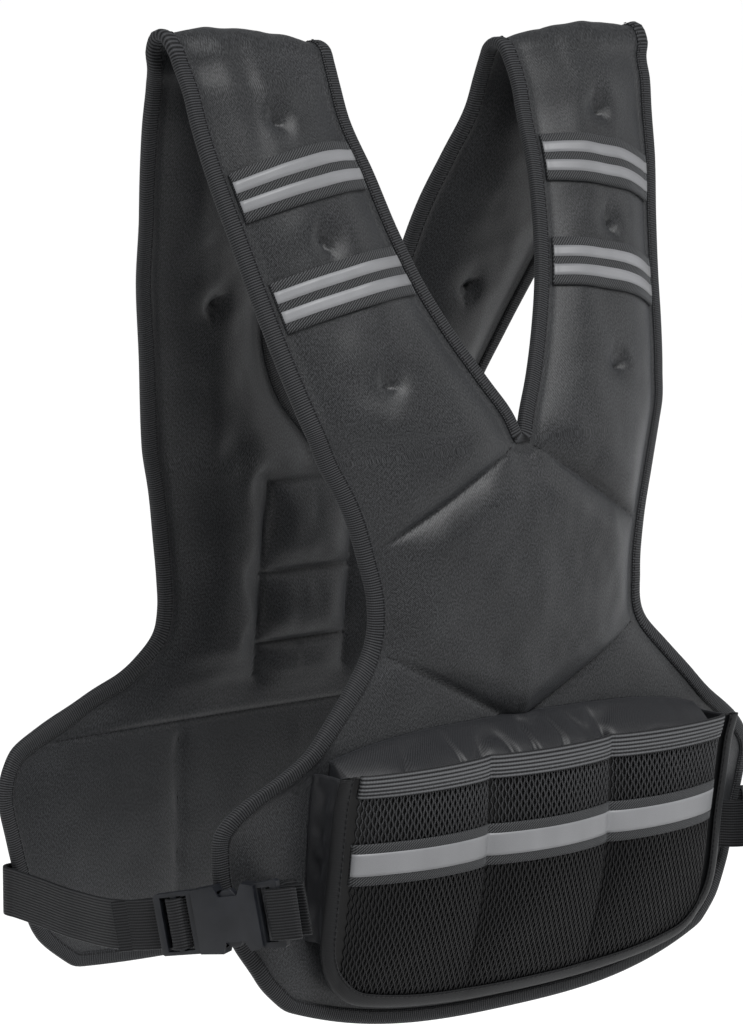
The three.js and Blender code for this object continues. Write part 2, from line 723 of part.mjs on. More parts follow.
// The lined packs that fill the pocket: their top slopes from a seam on the panel to the mouth
function pocketLining() {
  const top = (x) => POCKET_MOUTH_V - LINING_SEAM_RISE * (1 - 0.7 * (x / BAYS_HALF_WIDTH) ** 4);
  const bottom = (x) => Math.min(POCKET_MOUTH_V + LINING_DEPTH, pocketFootV(x) - TAPE_LINE * 2);
  const grid = pocketGrid(bayColumns(), top, bottom, 7);
  const floor = (v, x) => halfPad(v, x) + LINING_CLEARANCE;
  const roof = (v, x) => {
    const slope = clamp01((v - top(x) + 2) / (LINING_SEAM_RISE + 6));
    const full = pocketHeight(Math.max(v, POCKET_MOUTH_V), x) - CLEARANCE * 2;
    return lerp(floor(v, x), full, Math.sin((slope * Math.PI) / 2));
  };
  return sheet(grid, floor, (v, x) => Math.max(floor(v, x) + 1, roof(v, x)));
}

function gusset() {
  const x = POCKET_HALF_WIDTH - GUSSET_THICKNESS;
  const [fromV, toV] = [POCKET_MOUTH_V + 2, pocketFootV(x) - TAPE_WIDTH];
  const rows = Array.from({ length: GUSSET_ROWS + 1 }, (_, i) => i / GUSSET_ROWS);
  const rings = rows.map((t) => {
    const v = lerp(fromV, toV, t);
    const low = halfPad(v, x) + CLEARANCE;
    const high = Math.max(low + 1, pocketHeight(v, x) - TAPE_THICKNESS - RIM_GAP - CLEARANCE);
    return [
      place(v, x - GUSSET_THICKNESS / 2, low),
      place(v, x - GUSSET_THICKNESS / 2, high),
      place(v, x + GUSSET_THICKNESS / 2, high),
      place(v, x + GUSSET_THICKNESS / 2, low),
    ];
  });
  return loft(rings, false);
}

// Solids that need a cut or a join
const wasm = await Module();
wasm.setup();

function toSolid(geometry) {
  const bare = geometry.clone();
  bare.deleteAttribute('normal');
  bare.deleteAttribute('uv');
  const merged = mergeVertices(bare, 1e-4);
  return new wasm.Manifold(new wasm.Mesh({
    numProp: 3,
    vertProperties: new Float32Array(merged.getAttribute('position').array),
    triVerts: new Uint32Array(merged.getIndex().array),
  }));
}

function toGeometry(solid) {
  const mesh = solid.getMesh();
  const geometry = new THREE.BufferGeometry();
  geometry.setAttribute('position', new THREE.Float32BufferAttribute(mesh.vertProperties, 3));
  geometry.setIndex(Array.from(mesh.triVerts));
  return geometry;
}

function outline(upper) {
  const lower = upper.map(([x, y]) => [x, -y]);
  return [...lower, ...[...upper].reverse()].map(([x, y]) => new THREE.Vector2(x, y));
}

function plate(points, thickness) {
  const shape = new THREE.Shape(points);
  const geometry = new THREE.ExtrudeGeometry(shape, { depth: thickness, bevelEnabled: false });
  return toSolid(geometry.translate(0, 0, -thickness / 2));
}

function slot(from, to) {
  return plate(outline([[from, SLOT_HALF], [to, SLOT_HALF]]), BUCKLE_THICKNESS * 2);
}

// Buckle in its own frame: x along the belt towards the front, y up, z out from the body
const SLOT_HALF = WEBBING_WIDTH / 2 + 0.8;
const BUCKLE_HALF = BUCKLE_HEIGHT / 2;
const FEMALE_BAR = [29, 33];
const LADDER_SLOTS = [[-30.5, -24.5], [-21.5, -16]];
const MALE_FACE = -13;

function femaleBuckle() {
  const shell = plate(outline([
    [MALE_FACE + 0.6, BUCKLE_HALF - 1], [0, BUCKLE_HALF], [2, BUCKLE_HALF - 5.5],
    [12, BUCKLE_HALF - 5.5], [15, BUCKLE_HALF], [20, BUCKLE_HALF - 1.2], [21.5, BUCKLE_HALF - 1.5],
  ]), BUCKLE_THICKNESS);
  const frame = plate(
    outline([[19, BUCKLE_HALF - 1.2], [FEMALE_BAR[1] - 1, BUCKLE_HALF], [FEMALE_BAR[1], BUCKLE_HALF - 1]]),
    LADDER_THICKNESS - 1,
  ).subtract(slot(22.5, FEMALE_BAR[0]));
  const cavity = plate(outline([[MALE_FACE - 1, BUCKLE_HALF - 3], [13, BUCKLE_HALF - 3]]), BUCKLE_CAVITY);
  return toGeometry(shell.add(frame).subtract(cavity));
}

function maleBuckle() {
  const ladder = LADDER_SLOTS.reduce(
    (solid, [from, to]) => solid.subtract(slot(from, to)),
    plate(
      outline([[-34, BUCKLE_HALF - 2.5], [-33, BUCKLE_HALF - 1.5], [MALE_FACE, BUCKLE_HALF - 1]]),
      LADDER_THICKNESS,
    ),
  );
  const prongThickness = BUCKLE_CAVITY - 2 * CLEARANCE;
  const arm = [
    [MALE_FACE - 2, BUCKLE_HALF - 9], [MALE_FACE - 2, BUCKLE_HALF - 5], [1, BUCKLE_HALF - 4.7],
    [3.5, BUCKLE_HALF - 3], [8, BUCKLE_HALF - 2.4], [10.8, BUCKLE_HALF - 6], [9, BUCKLE_HALF - 9],
    [0, BUCKLE_HALF - 8],
  ];
  const upper = plate(arm.map(([x, y]) => new THREE.Vector2(x, y)), prongThickness);
  const lower = plate(arm.map(([x, y]) => new THREE.Vector2(x, -y)), prongThickness);
  const guide = plate(outline([[MALE_FACE - 2, 2.2], [6, 2.2], [8, 1.2]]), prongThickness);
  return toGeometry(ladder.add(upper).add(lower).add(guide));
}

// Where the belts meet the panels
const FRONT_BELT_V = vAtDrop(1, BELT_DROP);
const BACK_BELT_V = vAtDrop(-1, BACK_BELT_DROP);
const WEB_OFF = WEBBING_THICKNESS / 2 + CLEARANCE;
const BINDING_TOP = RIM_HALF + RIM_GAP + TAPE_THICKNESS;
const FRONT_ROOT = POCKET_HALF_WIDTH + GUSSET_THICKNESS + WEB_OFF + 2;

// The buckle lies beside the wing, or further out where the pocket's side needs the room
const bend = THREE.MathUtils.degToRad(BUCKLE_BEND_DEG);
const tilt = THREE.MathUtils.degToRad(BUCKLE_TILT_DEG);
const FORWARD = new THREE.Vector3(-Math.sin(bend), -Math.cos(bend), 0);
const UP = new THREE.Vector3(0, 0, 1);
const ALONG = FORWARD.clone().multiplyScalar(Math.cos(tilt)).addScaledVector(UP, Math.sin(tilt));
const OUTWARD = new THREE.Vector3(Math.cos(bend), -Math.sin(bend), 0);
const BELT_UP = UP.clone().multiplyScalar(Math.cos(tilt)).addScaledVector(FORWARD, -Math.sin(tilt));
const WING = stationAt(FRONT_BELT_V);
const BUCKLE_AT = new THREE.Vector3(
  Math.max(WING.arm + BUCKLE_CLEAR_OF_WING + TAPE_THICKNESS, FRONT_ROOT + FRONT_BELT_RUN),
  WING.y + WING.bow - BUCKLE_AHEAD_OF_WING,
  WING.z,
);

// A point of a belt's line, with the way that its upper edge lies
function onBelt(x, n) {
  const at = BUCKLE_AT.clone().addScaledVector(ALONG, x).addScaledVector(OUTWARD, n);
  return { at, up: BELT_UP };
}

function setOnBelt(geometry) {
  const axes = new THREE.Matrix4().makeBasis(ALONG, BELT_UP, OUTWARD);
  axes.setPosition(BUCKLE_AT);
  return finished(geometry.clone().applyMatrix4(axes));
}

// A band of webbing on edge along a chain of points
function webbing(points) {
  const rings = points.map(({ at, up }, i) => {
    const before = points[Math.max(0, i - 1)].at;
    const after = points[Math.min(points.length - 1, i + 1)].at;
    const side = up.clone().cross(after.clone().sub(before)).normalize();
    const corner = (sign, z) => at.clone()
      .addScaledVector(side, (sign * WEBBING_THICKNESS) / 2)
      .addScaledVector(up, (z * WEBBING_WIDTH) / 2);
    return [corner(1, -1), corner(1, 1), corner(-1, 1), corner(-1, -1)];
  });
  return loft(rings, false);
}

// Panel face points at the belt's height, a given height off the middle of the padding
function panelPoint(side, x, n) {
  const v = side > 0 ? FRONT_BELT_V : BACK_BELT_V;
  const at = place(v, x, n);
  at.z = stationAt(v).z;
  return { at, up: UP };
}

// Height of a sewn webbing's middle over the panel's face
function sewnHeight(side, x) {
  const v = side > 0 ? FRONT_BELT_V : BACK_BELT_V;
  const under = [-0.5, 0, 0.5].map((share) => halfPad(v + share * WEBBING_WIDTH, x));
  return Math.max(...under) + WEBBING_THICKNESS / 2 + SEWN_GAP;
}

// The front belt loops round the female half's bar and is sewn down beside the gusset
function frontWebbing() {
  const [barFrom, barTo] = FEMALE_BAR;
  const loop = [
    onBelt(barTo + 12, -3.6), onBelt(barFrom + 1, -3.6), onBelt(barFrom - 1.6, -2.8),
    onBelt(barFrom - 2.5, 0), onBelt(barFrom - 1.6, 2.8), onBelt(barFrom + 1, 3.6), onBelt(barTo + 8, 4),
  ];
  const seat = sewnHeight(1, FRONT_ROOT);
  const sewn = [
    panelPoint(1, FRONT_ROOT + 17, seat + 10),
    panelPoint(1, FRONT_ROOT + 11, seat + 2.5),
    panelPoint(1, FRONT_ROOT + 7, seat),
    panelPoint(1, FRONT_ROOT, seat),
  ];
  return webbing([...loop, ...sewn]);
}

// The back belt is threaded through the ladder, turns round the wing and is sewn on behind
function backWebbing() {
  const thread = [
    [-BELT_TAIL, -6.6], [-40, -6.4], [-21, -6.3], [-19.2, -4.5], [-18.8, 0], [-20, 3], [-21.5, 3.8],
    [-24.5, 3.8], [-26, 3], [-27.2, 0], [-28.6, -3.4], [-31.5, -3.8], [-40, -3.8],
  ].map(([x, n]) => onBelt(x, n));
  const wing = stationAt(BACK_BELT_V);
  const tipV = BACK_BELT_V + WEBBING_WIDTH / 2;
  const tip = place(tipV, stationAt(tipV).arm, 0);
  const clear = BINDING_TOP + WEB_OFF;
  const round = [
    [clear + 3, -BELT_TAIL], [clear + 1, -30], [clear, -6], [clear, 2], [clear * 0.7, clear * 0.7 + 1],
  ].map(([x, y]) => ({ at: new THREE.Vector3(tip.x + x, tip.y + y, wing.z), up: UP }));
  const flat = [
    panelPoint(-1, wing.arm - TAPE_WIDTH * 0.6, clear),
    panelPoint(-1, wing.arm - TAPE_WIDTH - 6, clear),
    panelPoint(-1, wing.arm - 26, sewnHeight(-1, wing.arm - 26) + SEWN_GAP),
    panelPoint(-1, wing.arm - BACK_SEAM_IN, sewnHeight(-1, wing.arm - BACK_SEAM_IN)),
  ];
  return webbing([...thread, ...round, ...flat]);
}

const vest = new THREE.Group();

function addPiece(name, geometry, finish) {
  const mesh = new THREE.Mesh(geometry, new THREE.MeshStandardMaterial(finish));
  mesh.name = name;
  vest.add(mesh);
}

function addPair(name, geometry, finish) {
  addPiece(`${name}_left`, geometry, finish);
  addPiece(`${name}_right`, mirrored(geometry), finish);
}

addPiece('padded_shell', paddedShell(), KNIT);
addPiece('outer_binding', bodyBinding(outerEdge()), TAPE);
addPiece('neck_binding', bodyBinding(neckEdge()), TAPE);
addPiece('pocket_mesh', pocketMesh(), MESH);
addPiece('pocket_lining', pocketLining(), LINING);
addPiece('pocket_binding', pocketBinding(), TAPE);
addPiece('pocket_elastic_hem', pocketStrip(0, ELASTIC_HEM_HEIGHT, KEEPER_THICKNESS, 2), ELASTIC);
addPiece(
  'pocket_reflective_band',
  pocketStrip(REFLECTIVE_BAND_DROP, REFLECTIVE_BAND_HEIGHT, REFLECTIVE_BAND_THICKNESS, 3),
  REFLECTIVE,
);
addPair('pocket_gusset', gusset(), LINING);
KEEPER_DROPS.forEach((drop, i) => {
  const level = ['upper', 'lower'][i];
  addPair(`${level}_keeper`, keeper(drop), ELASTIC);
  addPair(`${level}_keeper_stripe_top`, keeperStripe(drop, 0), REFLECTIVE);
  addPair(`${level}_keeper_stripe_bottom`, keeperStripe(drop, 1), REFLECTIVE);
});
addPair('front_webbing', frontWebbing(), WEBBING);
addPair('back_webbing', backWebbing(), WEBBING);
addPair('female_buckle', setOnBelt(femaleBuckle()), PLASTIC);
addPair('male_buckle', setOnBelt(maleBuckle()), PLASTIC);

export default vest;
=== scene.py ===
import math

import bpy
import numpy as np
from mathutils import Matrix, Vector


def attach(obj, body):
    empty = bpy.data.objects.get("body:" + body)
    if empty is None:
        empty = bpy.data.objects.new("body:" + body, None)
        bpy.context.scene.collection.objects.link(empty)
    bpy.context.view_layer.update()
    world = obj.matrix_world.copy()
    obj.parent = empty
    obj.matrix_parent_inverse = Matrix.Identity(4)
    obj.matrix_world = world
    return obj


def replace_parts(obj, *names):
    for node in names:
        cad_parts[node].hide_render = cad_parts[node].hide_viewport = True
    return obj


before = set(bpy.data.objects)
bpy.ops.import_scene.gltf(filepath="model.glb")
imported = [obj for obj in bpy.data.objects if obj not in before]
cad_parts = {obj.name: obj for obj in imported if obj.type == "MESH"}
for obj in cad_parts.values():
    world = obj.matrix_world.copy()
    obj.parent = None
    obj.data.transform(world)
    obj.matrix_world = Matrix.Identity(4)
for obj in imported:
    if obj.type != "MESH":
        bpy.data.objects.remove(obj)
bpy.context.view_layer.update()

# Sizes, in millimetres
FRONT_DROP = 481
BACK_DROP = 476
FRONT_REACH = 88
BACK_REACH = 98
NECK_HALF_WIDTH = 59
SHOULDER_HALF_WIDTH = 159
FRONT_WAIST_HALF_WIDTH = 89.5
BACK_WAIST_HALF_WIDTH = 92
FRONT_WING_HALF_WIDTH = 177.5
BACK_WING_HALF_WIDTH = 196
SIDE_BOW = 20
HEM_RISE = 19
PAD_HALF = 10
RIM_HALF = 1.7
SEAM_HALF = 3.4
SOFT_EDGE = 30
SEAM_SOFTNESS = 19
DIAMOND_PAD = 10
BELOW_DIAMOND_PAD = 4.6
GROOVE_DEPTH = 1.3
GROOVE_HALF_WIDTH = 1.3
TUFT_DEPTH = 3.2
TUFT_RADIUS = 11
CREASE_DEPTH = 4.6
CREASE_HALF_WIDTH = 1.3
CREASE_HALF_LENGTH = 4.5
TUFT_FOLD = 12
FOLD_LEAN = 0.55
FOLD_HALF_WIDTH = 1.6
STITCH_PITCH = 3.2
STITCH_FLATNESS = 0.8
TAPE_WIDTH = 9
TAPE_THICKNESS = 0.8
TAPE_GAP = 2
TAPE_REACH = 6.4
BINDING_TOP = 3.7
SWELL_LINE = TAPE_WIDTH + 0.6
KEEPER_WIDTH = 25
KEEPER_THICKNESS = 1.5
KEEPER_SLANT = 12
KEEPER_INSET = TAPE_WIDTH + 1.5
STRIPE_WIDTH = 5.7
STRIPE_SPACING = 9.8
POCKET_HALF_WIDTH = 132
POCKET_MOUTH_DROP = 0.715
POCKET_STANDOFF = 25
POCKET_FOOT = 7
POCKET_WALL = 1.5
POCKET_CORNER_RADIUS = 26
POCKET_HEM_GAP = 11
BAY_COUNT = 3
BAY_BULGE = 8.5
BAYS_HALF_WIDTH = POCKET_HALF_WIDTH - TAPE_WIDTH - 1
ELASTIC_HEM_HEIGHT = 11
REFLECTIVE_BAND_HEIGHT = 21
REFLECTIVE_BAND_DROP = 34
SILVER_HEIGHT = 11.5
LINING_SEAM_RISE = 14
LINING_DEPTH = 90
GUSSET_THICKNESS = 1.5
WEBBING_WIDTH = 25
WEBBING_THICKNESS = 1.6
SEWN_GAP = 0.4
BELT_DROP = 0.8515
BACK_BELT_DROP = 0.891
BUCKLE_BEND_DEG = 25.5
BUCKLE_TILT_DEG = 11
WING_TO_BUCKLE = 9.5
BUCKLE_AHEAD_OF_WING = 11
FRONT_BELT_RUN = 40
FEMALE_BAR = (29, 33)
BELT_TAIL = 62
BACK_SEAM_IN = 48
CLEARANCE = 0.5

# Sections from the shoulder ridge to each hem: share of the drop, of the reach, of the bow,
# of the neck's half width, of the arm edge's way out, of the hem's rise and of the padding
RIDGE_SECTION = (0, 0, -0.4, 0.975, 1, 0, 0.6)
FRONT_SECTIONS = [
    (0.004, 0.063, -0.2, 0.983, 0.978, 0, 0.6),
    (0.015, 0.102, -0.05, 0.992, 0.942, 0, 0.65),
    (0.04, 0.165, 0, 1, 0.914, 0, 0.8),
    (0.071, 0.227, 0.1, 0.983, 0.885, 0, 0.9),
    (0.127, 0.392, 0.43, 0.903, 0.813, 0, 0.95),
    (0.185, 0.523, 0.6, 0.8, 0.715, 0, 1),
    (0.237, 0.636, 0.72, 0.668, 0.633, 0, 1),
    (0.289, 0.75, 0.8, 0.475, 0.55, 0, 1),
    (0.341, 0.867, 0.9, 0.237, 0.453, 0, 1),
    (0.376, 0.938, 0.95, 0.064, 0.381, 0, 1),
    (0.399, 0.968, 1, 0, 0.332, 0, 1.05),
    (0.453, 1.005, 0.87, 0, 0.18, 0, 1.1),
    (0.509, 1, 0.7, 0, 0.065, 0, 1.1),
    (0.558, 0.985, 0.5, 0, 0, 0, 1.1),
    (0.609, 0.966, 0.4, 0, 0.045, 0, 0.95),
    (0.638, 0.955, 0.2, 0, 0.188, 0, 0.8),
    (0.669, 0.943, 0.03, 0, 0.358, 0, 0.65),
    (0.699, 0.932, -0.05, 0, 0.528, 0, 0.5),
    (0.721, 0.932, 0.1, 0, 0.71, 0, 0.45),
    (0.74, 0.932, 0.36, 0, 0.864, 0, 0.45),
    (0.765, 0.932, 0.62, 0, 0.994, 0, 0.45),
    (0.805, 0.932, 0.8, 0, 1, 0, 0.45),
    (0.846, 0.932, 0.85, 0, 0.949, 0, 0.45),
    (0.886, 0.926, 0.72, 0, 0.881, 0, 0.45),
    (0.925, 0.92, 0.52, 0, 0.778, 0.2, 0.45),
    (0.967, 0.92, 0.48, 0, 0.7, 0.74, 0.45),
    (1, 0.91, 0.45, 0, 0.574, 1, 0.45),
]
BACK_SECTIONS = [
    (0.004, 0.056, -0.2, 0.98, 0.985, 0, 0.6),
    (0.015, 0.097, 0.05, 0.99, 0.97, 0, 0.65),
    (0.036, 0.148, 0.05, 1, 0.92, 0, 0.8),
    (0.069, 0.199, 0.08, 0.975, 0.905, 0, 0.9),
    (0.12, 0.316, 0.2, 0.87, 0.83, 0, 0.95),
    (0.172, 0.449, 0.45, 0.78, 0.75, 0, 1),
    (0.24, 0.587, 0.48, 0.72, 0.642, 0, 1),
    (0.334, 0.673, 0.05, 0.62, 0.433, 0, 1),
    (0.387, 0.709, -0.25, 0.37, 0.321, 0, 1),
    (0.412, 0.73, -0.33, 0.161, 0.276, 0, 1),
    (0.435, 0.755, -0.35, 0, 0.236, 0, 1),
    (0.485, 0.816, -0.3, 0, 0.119, 0, 1),
    (0.534, 0.857, -0.3, 0, 0.037, 0, 1),
    (0.582, 0.888, -0.15, 0, 0.004, 0, 1),
    (0.612, 0.907, -0.05, 0, 0, 0, 1),
    (0.641, 0.918, 0, 0, 0.038, 0, 1),
    (0.662, 0.929, 0, 0, 0.13, 0, 1),
    (0.681, 0.939, -0.05, 0, 0.245, 0, 0.8),
    (0.695, 0.949, 0, 0, 0.413, 0, 0.7),
    (0.71, 0.949, 0, 0, 0.567, 0, 0.55),
    (0.725, 0.954, 0.18, 0, 0.76, 0, 0.45),
    (0.737, 0.959, 0.3, 0, 0.889, 0, 0.45),
    (0.754, 0.964, 0.4, 0, 0.96, 0, 0.45),
    (0.779, 0.969, 0.45, 0, 1, 0, 0.45),
    (0.834, 0.98, 0.5, 0, 0.96, 0, 0.45),
    (0.88, 0.987, 0.5, 0, 0.9, 0, 0.45),
    (0.943, 0.995, 0.48, 0, 0.79, 0, 0.45),
    (0.977, 1, 0.43, 0, 0.688, 0.3, 0.45),
    (1, 1, 0.4, 0, 0.548, 0.3, 0.45),
]
# Quilting seams: drop share, share of the waist's half width
FRONT_SEAMS = [((0.399, 0), (0.505, 1)), ((0.603, 1), (0.697, 0))]
BACK_SEAMS = [
    ((0.477, 0), (0.477, 0.33)),
    ((0.582, 0), (0.582, 0.33)),
    ((0.662, 0), (0.662, 0.33)),
    ((0.477, 0.33), (0.7, 0.33)),
    ((0.737, 0), (0.737, 1.9)),
    ((0.737, 0.87), (0.96, 0.87)),
]
# Tufts: drop share, share of the way from the neck to the arm edge, and the tilt of the crease
FRONT_TUFTS = [(0.077, 0.53, 40), (0.193, 0.53, 60), (0.335, 0.57, 15)]
BACK_TUFTS = [(0.267, 0.49, 30)]
KEEPER_DROPS = {"upper": 0.118, "lower": 0.224}
SIDES = ("left", 1), ("right", -1)
FLOOR_HALF = 300.0
FLOOR_Z = -0.9
FLOOR_CORNERS = (-1, -1), (1, -1), (1, 1), (-1, 1)


# Small numeric tools
def lerp(a, b, t):
    return a + (b - a) * t


def clamp01(t):
    return np.clip(t, 0, 1)


def swell(t):
    return 1 - (1 - clamp01(t)) ** 2


def ease(t):
    t = clamp01(t)
    return t * t * (3 - 2 * t)


def bell(t):
    return np.exp(-(t**2))


def unit(vectors):
    return vectors / np.linalg.norm(vectors, axis=-1, keepdims=True)


def run_along(points):
    """The distance gone at each point of a chain."""
    return np.concatenate([[0], np.cumsum(np.linalg.norm(np.diff(points, axis=0), axis=1))])


def value_noise(a, b, size, seed):
    """Smooth noise from -1 to 1 over a plane, with features of about the given size."""
    lattice = np.random.RandomState(seed).uniform(-1, 1, (64, 64))
    a, b = np.asarray(a) / size, np.asarray(b) / size
    i, j = np.floor(a).astype(int), np.floor(b).astype(int)
    f, g = ease(a - i), ease(b - j)
    low = lerp(lattice[i % 64, j % 64], lattice[(i + 1) % 64, j % 64], f)
    high = lerp(lattice[i % 64, (j + 1) % 64], lattice[(i + 1) % 64, (j + 1) % 64], f)
    return lerp(low, high, g)


class Curve:
    """A smooth curve through a column of values at rising knots."""

    def __init__(self, knots, values):
        self.x = np.asarray(knots, float)
        self.y = np.asarray(values, float)
        steps = np.diff(self.x)
        rates = np.diff(self.y) / steps
        slopes = np.empty_like(self.y)
        slopes[1:-1] = (steps[1:] * rates[:-1] + steps[:-1] * rates[1:]) / (steps[1:] + steps[:-1])
        slopes[0], slopes[-1] = rates[0], rates[-1]
        self.m = slopes

    def _span(self, v):
        i = np.clip(np.searchsorted(self.x, v, side="right") - 1, 0, len(self.x) - 2)
        h = self.x[i + 1] - self.x[i]
        return i, h, (v - self.x[i]) / h

    def __call__(self, v):
        i, h, t = self._span(np.asarray(v, float))
        inside = clamp01(t)
        a, b = inside * inside, inside**3
        value = (
            self.y[i] * (2 * b - 3 * a + 1)
            + self.m[i] * h * (b - 2 * a + inside)
            + self.y[i + 1] * (3 * a - 2 * b)
            + self.m[i + 1] * h * (b - a)
        )
        past = (t - inside) * h
        return value + past * np.where(past < 0, self.m[0], self.m[-1])

    def slope(self, v):
        i, h, t = self._span(np.asarray(v, float))
        t = clamp01(t)
        rise = (self.y[i + 1] - self.y[i]) / h
        return (
            6 * (t - t * t) * rise
            + self.m[i] * (3 * t * t - 4 * t + 1)
            + self.m[i + 1] * (3 * t * t - 2 * t)
        )


# The flat pattern
def make_chain(sections, side, waist, wing):
    rows = np.array([RIDGE_SECTION, *sections], float)
    drop = rows[:, 0] * (FRONT_DROP if side > 0 else BACK_DROP)
    y = -side * rows[:, 1] * (FRONT_REACH if side > 0 else BACK_REACH)
    at_waist = int(np.argmin(rows[:, 4]))
    top = np.where(np.arange(len(rows)) <= at_waist, SHOULDER_HALF_WIDTH, wing)
    return {
        "drop": drop,
        "y": y,
        "bow": rows[:, 2] * SIDE_BOW,
        "neck": rows[:, 3] * NECK_HALF_WIDTH,
        "arm": waist + (top - waist) * rows[:, 4],
        "rise": rows[:, 5] * HEM_RISE,
        "pad": rows[:, 6] * PAD_HALF,
    }


def join_chains():
    front = make_chain(FRONT_SECTIONS, 1, FRONT_WAIST_HALF_WIDTH, FRONT_WING_HALF_WIDTH)
    back = make_chain(BACK_SECTIONS, -1, BACK_WAIST_HALF_WIDTH, BACK_WING_HALF_WIDTH)
    ridge_middle = (front["neck"][0] + front["arm"][0]) / 2 / front["arm"][0]
    top = front["pad"][0] + front["bow"][0] * ridge_middle**2
    fields = {k: np.concatenate([back[k][:0:-1], front[k]]) for k in front}
    fields["z"] = top - fields.pop("drop")
    v = run_along(np.stack([fields["y"], fields["z"]], -1))
    return v - v[len(BACK_SECTIONS)], fields


KNOTS, COLUMNS_OF = join_chains()
TRACK = {name: Curve(KNOTS, column) for name, column in COLUMNS_OF.items()}
FRONT_HEM_V = KNOTS[-1]
BACK_HEM_V = KNOTS[0]


def v_at_drop(side, drop):
    rows = FRONT_SECTIONS if side > 0 else BACK_SECTIONS
    drops = [0, *[row[0] for row in rows]]
    ridge = len(BACK_SECTIONS)
    v = KNOTS[ridge:] if side > 0 else KNOTS[ridge::-1]
    return float(np.interp(drop, drops, v))


FRONT_NOTCH_V = v_at_drop(1, 0.399)
BACK_NOTCH_V = v_at_drop(-1, 0.435)


def arm_at(v):
    return TRACK["arm"](v)


def neck_at(v):
    inside = (v < FRONT_NOTCH_V) & (v > BACK_NOTCH_V)
    return np.where(inside, np.maximum(TRACK["neck"](v), 0), 0)


def place(v, x, n):
    """Points in millimetres at distance v along the vest, x to the side and n out of its middle."""
    v, x, n = np.broadcast_arrays(np.asarray(v, float), np.asarray(x, float), np.asarray(n, float))
    ty, tz = TRACK["y"].slope(v), TRACK["z"].slope(v)
    length = np.hypot(ty, tz)
    out = n - TRACK["bow"](v) * (x / arm_at(v)) ** 2
    return np.stack([x, TRACK["y"](v) + tz / length * out, TRACK["z"](v) - ty / length * out], -1)


def hem_shift(v, x):
    """How far a row near a hem bends away from it towards the sides."""
    return TRACK["rise"](v) * (np.abs(x) / arm_at(v)) ** 3 * np.where(v < 0, 1, -1)


def front_hem_v(x):
    return FRONT_HEM_V + hem_shift(FRONT_HEM_V, x)


def back_hem_v(x):
    return BACK_HEM_V + hem_shift(BACK_HEM_V, x)


def to_segments(v, x, chain):
    """Distance from each point to the nearest part of a chain of flat points."""
    chain = np.asarray(chain, float)
    nearest = np.full(np.broadcast(v, x).shape, np.inf)
    for (av, ax), (bv, bx) in zip(chain[:-1], chain[1:]):
        dv, dx = bv - av, bx - ax
        t = clamp01(((v - av) * dv + (x - ax) * dx) / max(dv * dv + dx * dx, 1e-9))
        nearest = np.minimum(nearest, np.hypot(v - av - t * dv, x - ax - t * dx))
    return nearest


def arm_chain(v):
    return np.stack([v + TRACK["rise"](v) * np.where(v < 0, 1, -1), arm_at(v)], -1)


def neck_edge():
    v = np.linspace(BACK_NOTCH_V + 0.01, FRONT_NOTCH_V - 0.01, 110)
    return np.stack([v, neck_at(v)], -1)


ARM_CHAIN = arm_chain(np.append(np.arange(BACK_HEM_V, FRONT_HEM_V, 5.0), FRONT_HEM_V))
NECK_CHAIN = neck_edge()


def flat_seams():
    halves = (FRONT_SEAMS, 1, FRONT_WAIST_HALF_WIDTH), (BACK_SEAMS, -1, BACK_WAIST_HALF_WIDTH)
    return [
        [(v_at_drop(side, drop), share * waist) for drop, share in ends]
        for seams, side, waist in halves
        for ends in seams
    ]


def flat_tufts():
    found = []
    for tufts, side in ((FRONT_TUFTS, 1), (BACK_TUFTS, -1)):
        for drop, share, tilt in tufts:
            v = v_at_drop(side, drop)
            x = lerp(float(neck_at(v)), float(arm_at(v)), share)
            found.append((v, x, math.radians(tilt)))
    return found


SEAMS = flat_seams()
TUFTS = flat_tufts()


def edge_distance(v, side):
    to_hem = np.minimum(front_hem_v(side) - v, v - back_hem_v(side))
    to_edges = np.minimum(to_segments(v, side, ARM_CHAIN), to_segments(v, side, NECK_CHAIN))
    return np.minimum(to_hem, to_edges)


def wrinkles(v, x, face):
    """Slack in the cloth: long soft folds along the straps and small puckers."""
    shoulder = bell(v / 70.0)
    soft = value_noise(v * 0.45, x, 19, 3 + face) * 0.9
    fine = value_noise(v, x * 1.2, 8, 11 + face) * 0.22
    ridges = value_noise(v * 0.16 + x * 0.25, x, 11, 21 + face) * 1.7 * shoulder
    pulls = value_noise(v * 0.3 - x * 0.9, x * 0.2 + v, 13, 31 + face) * 0.45
    return soft + fine + ridges + pulls


def diamond_puff(v, side, pad):
    """The quilted diamond stays full down to its lower seams."""
    (corner_v, corner_x), (tip_v, tip_x) = SEAMS[1]
    above = lerp(tip_v, corner_v, (side - tip_x) / (corner_x - tip_x)) - v
    lower = ease((v - FRONT_NOTCH_V - 45) / 55)
    full = lerp(pad, np.maximum(pad, DIAMOND_PAD), lower)
    below = lerp(pad, np.minimum(pad, BELOW_DIAMOND_PAD), lower)
    return lerp(below, full, ease(above / 3))


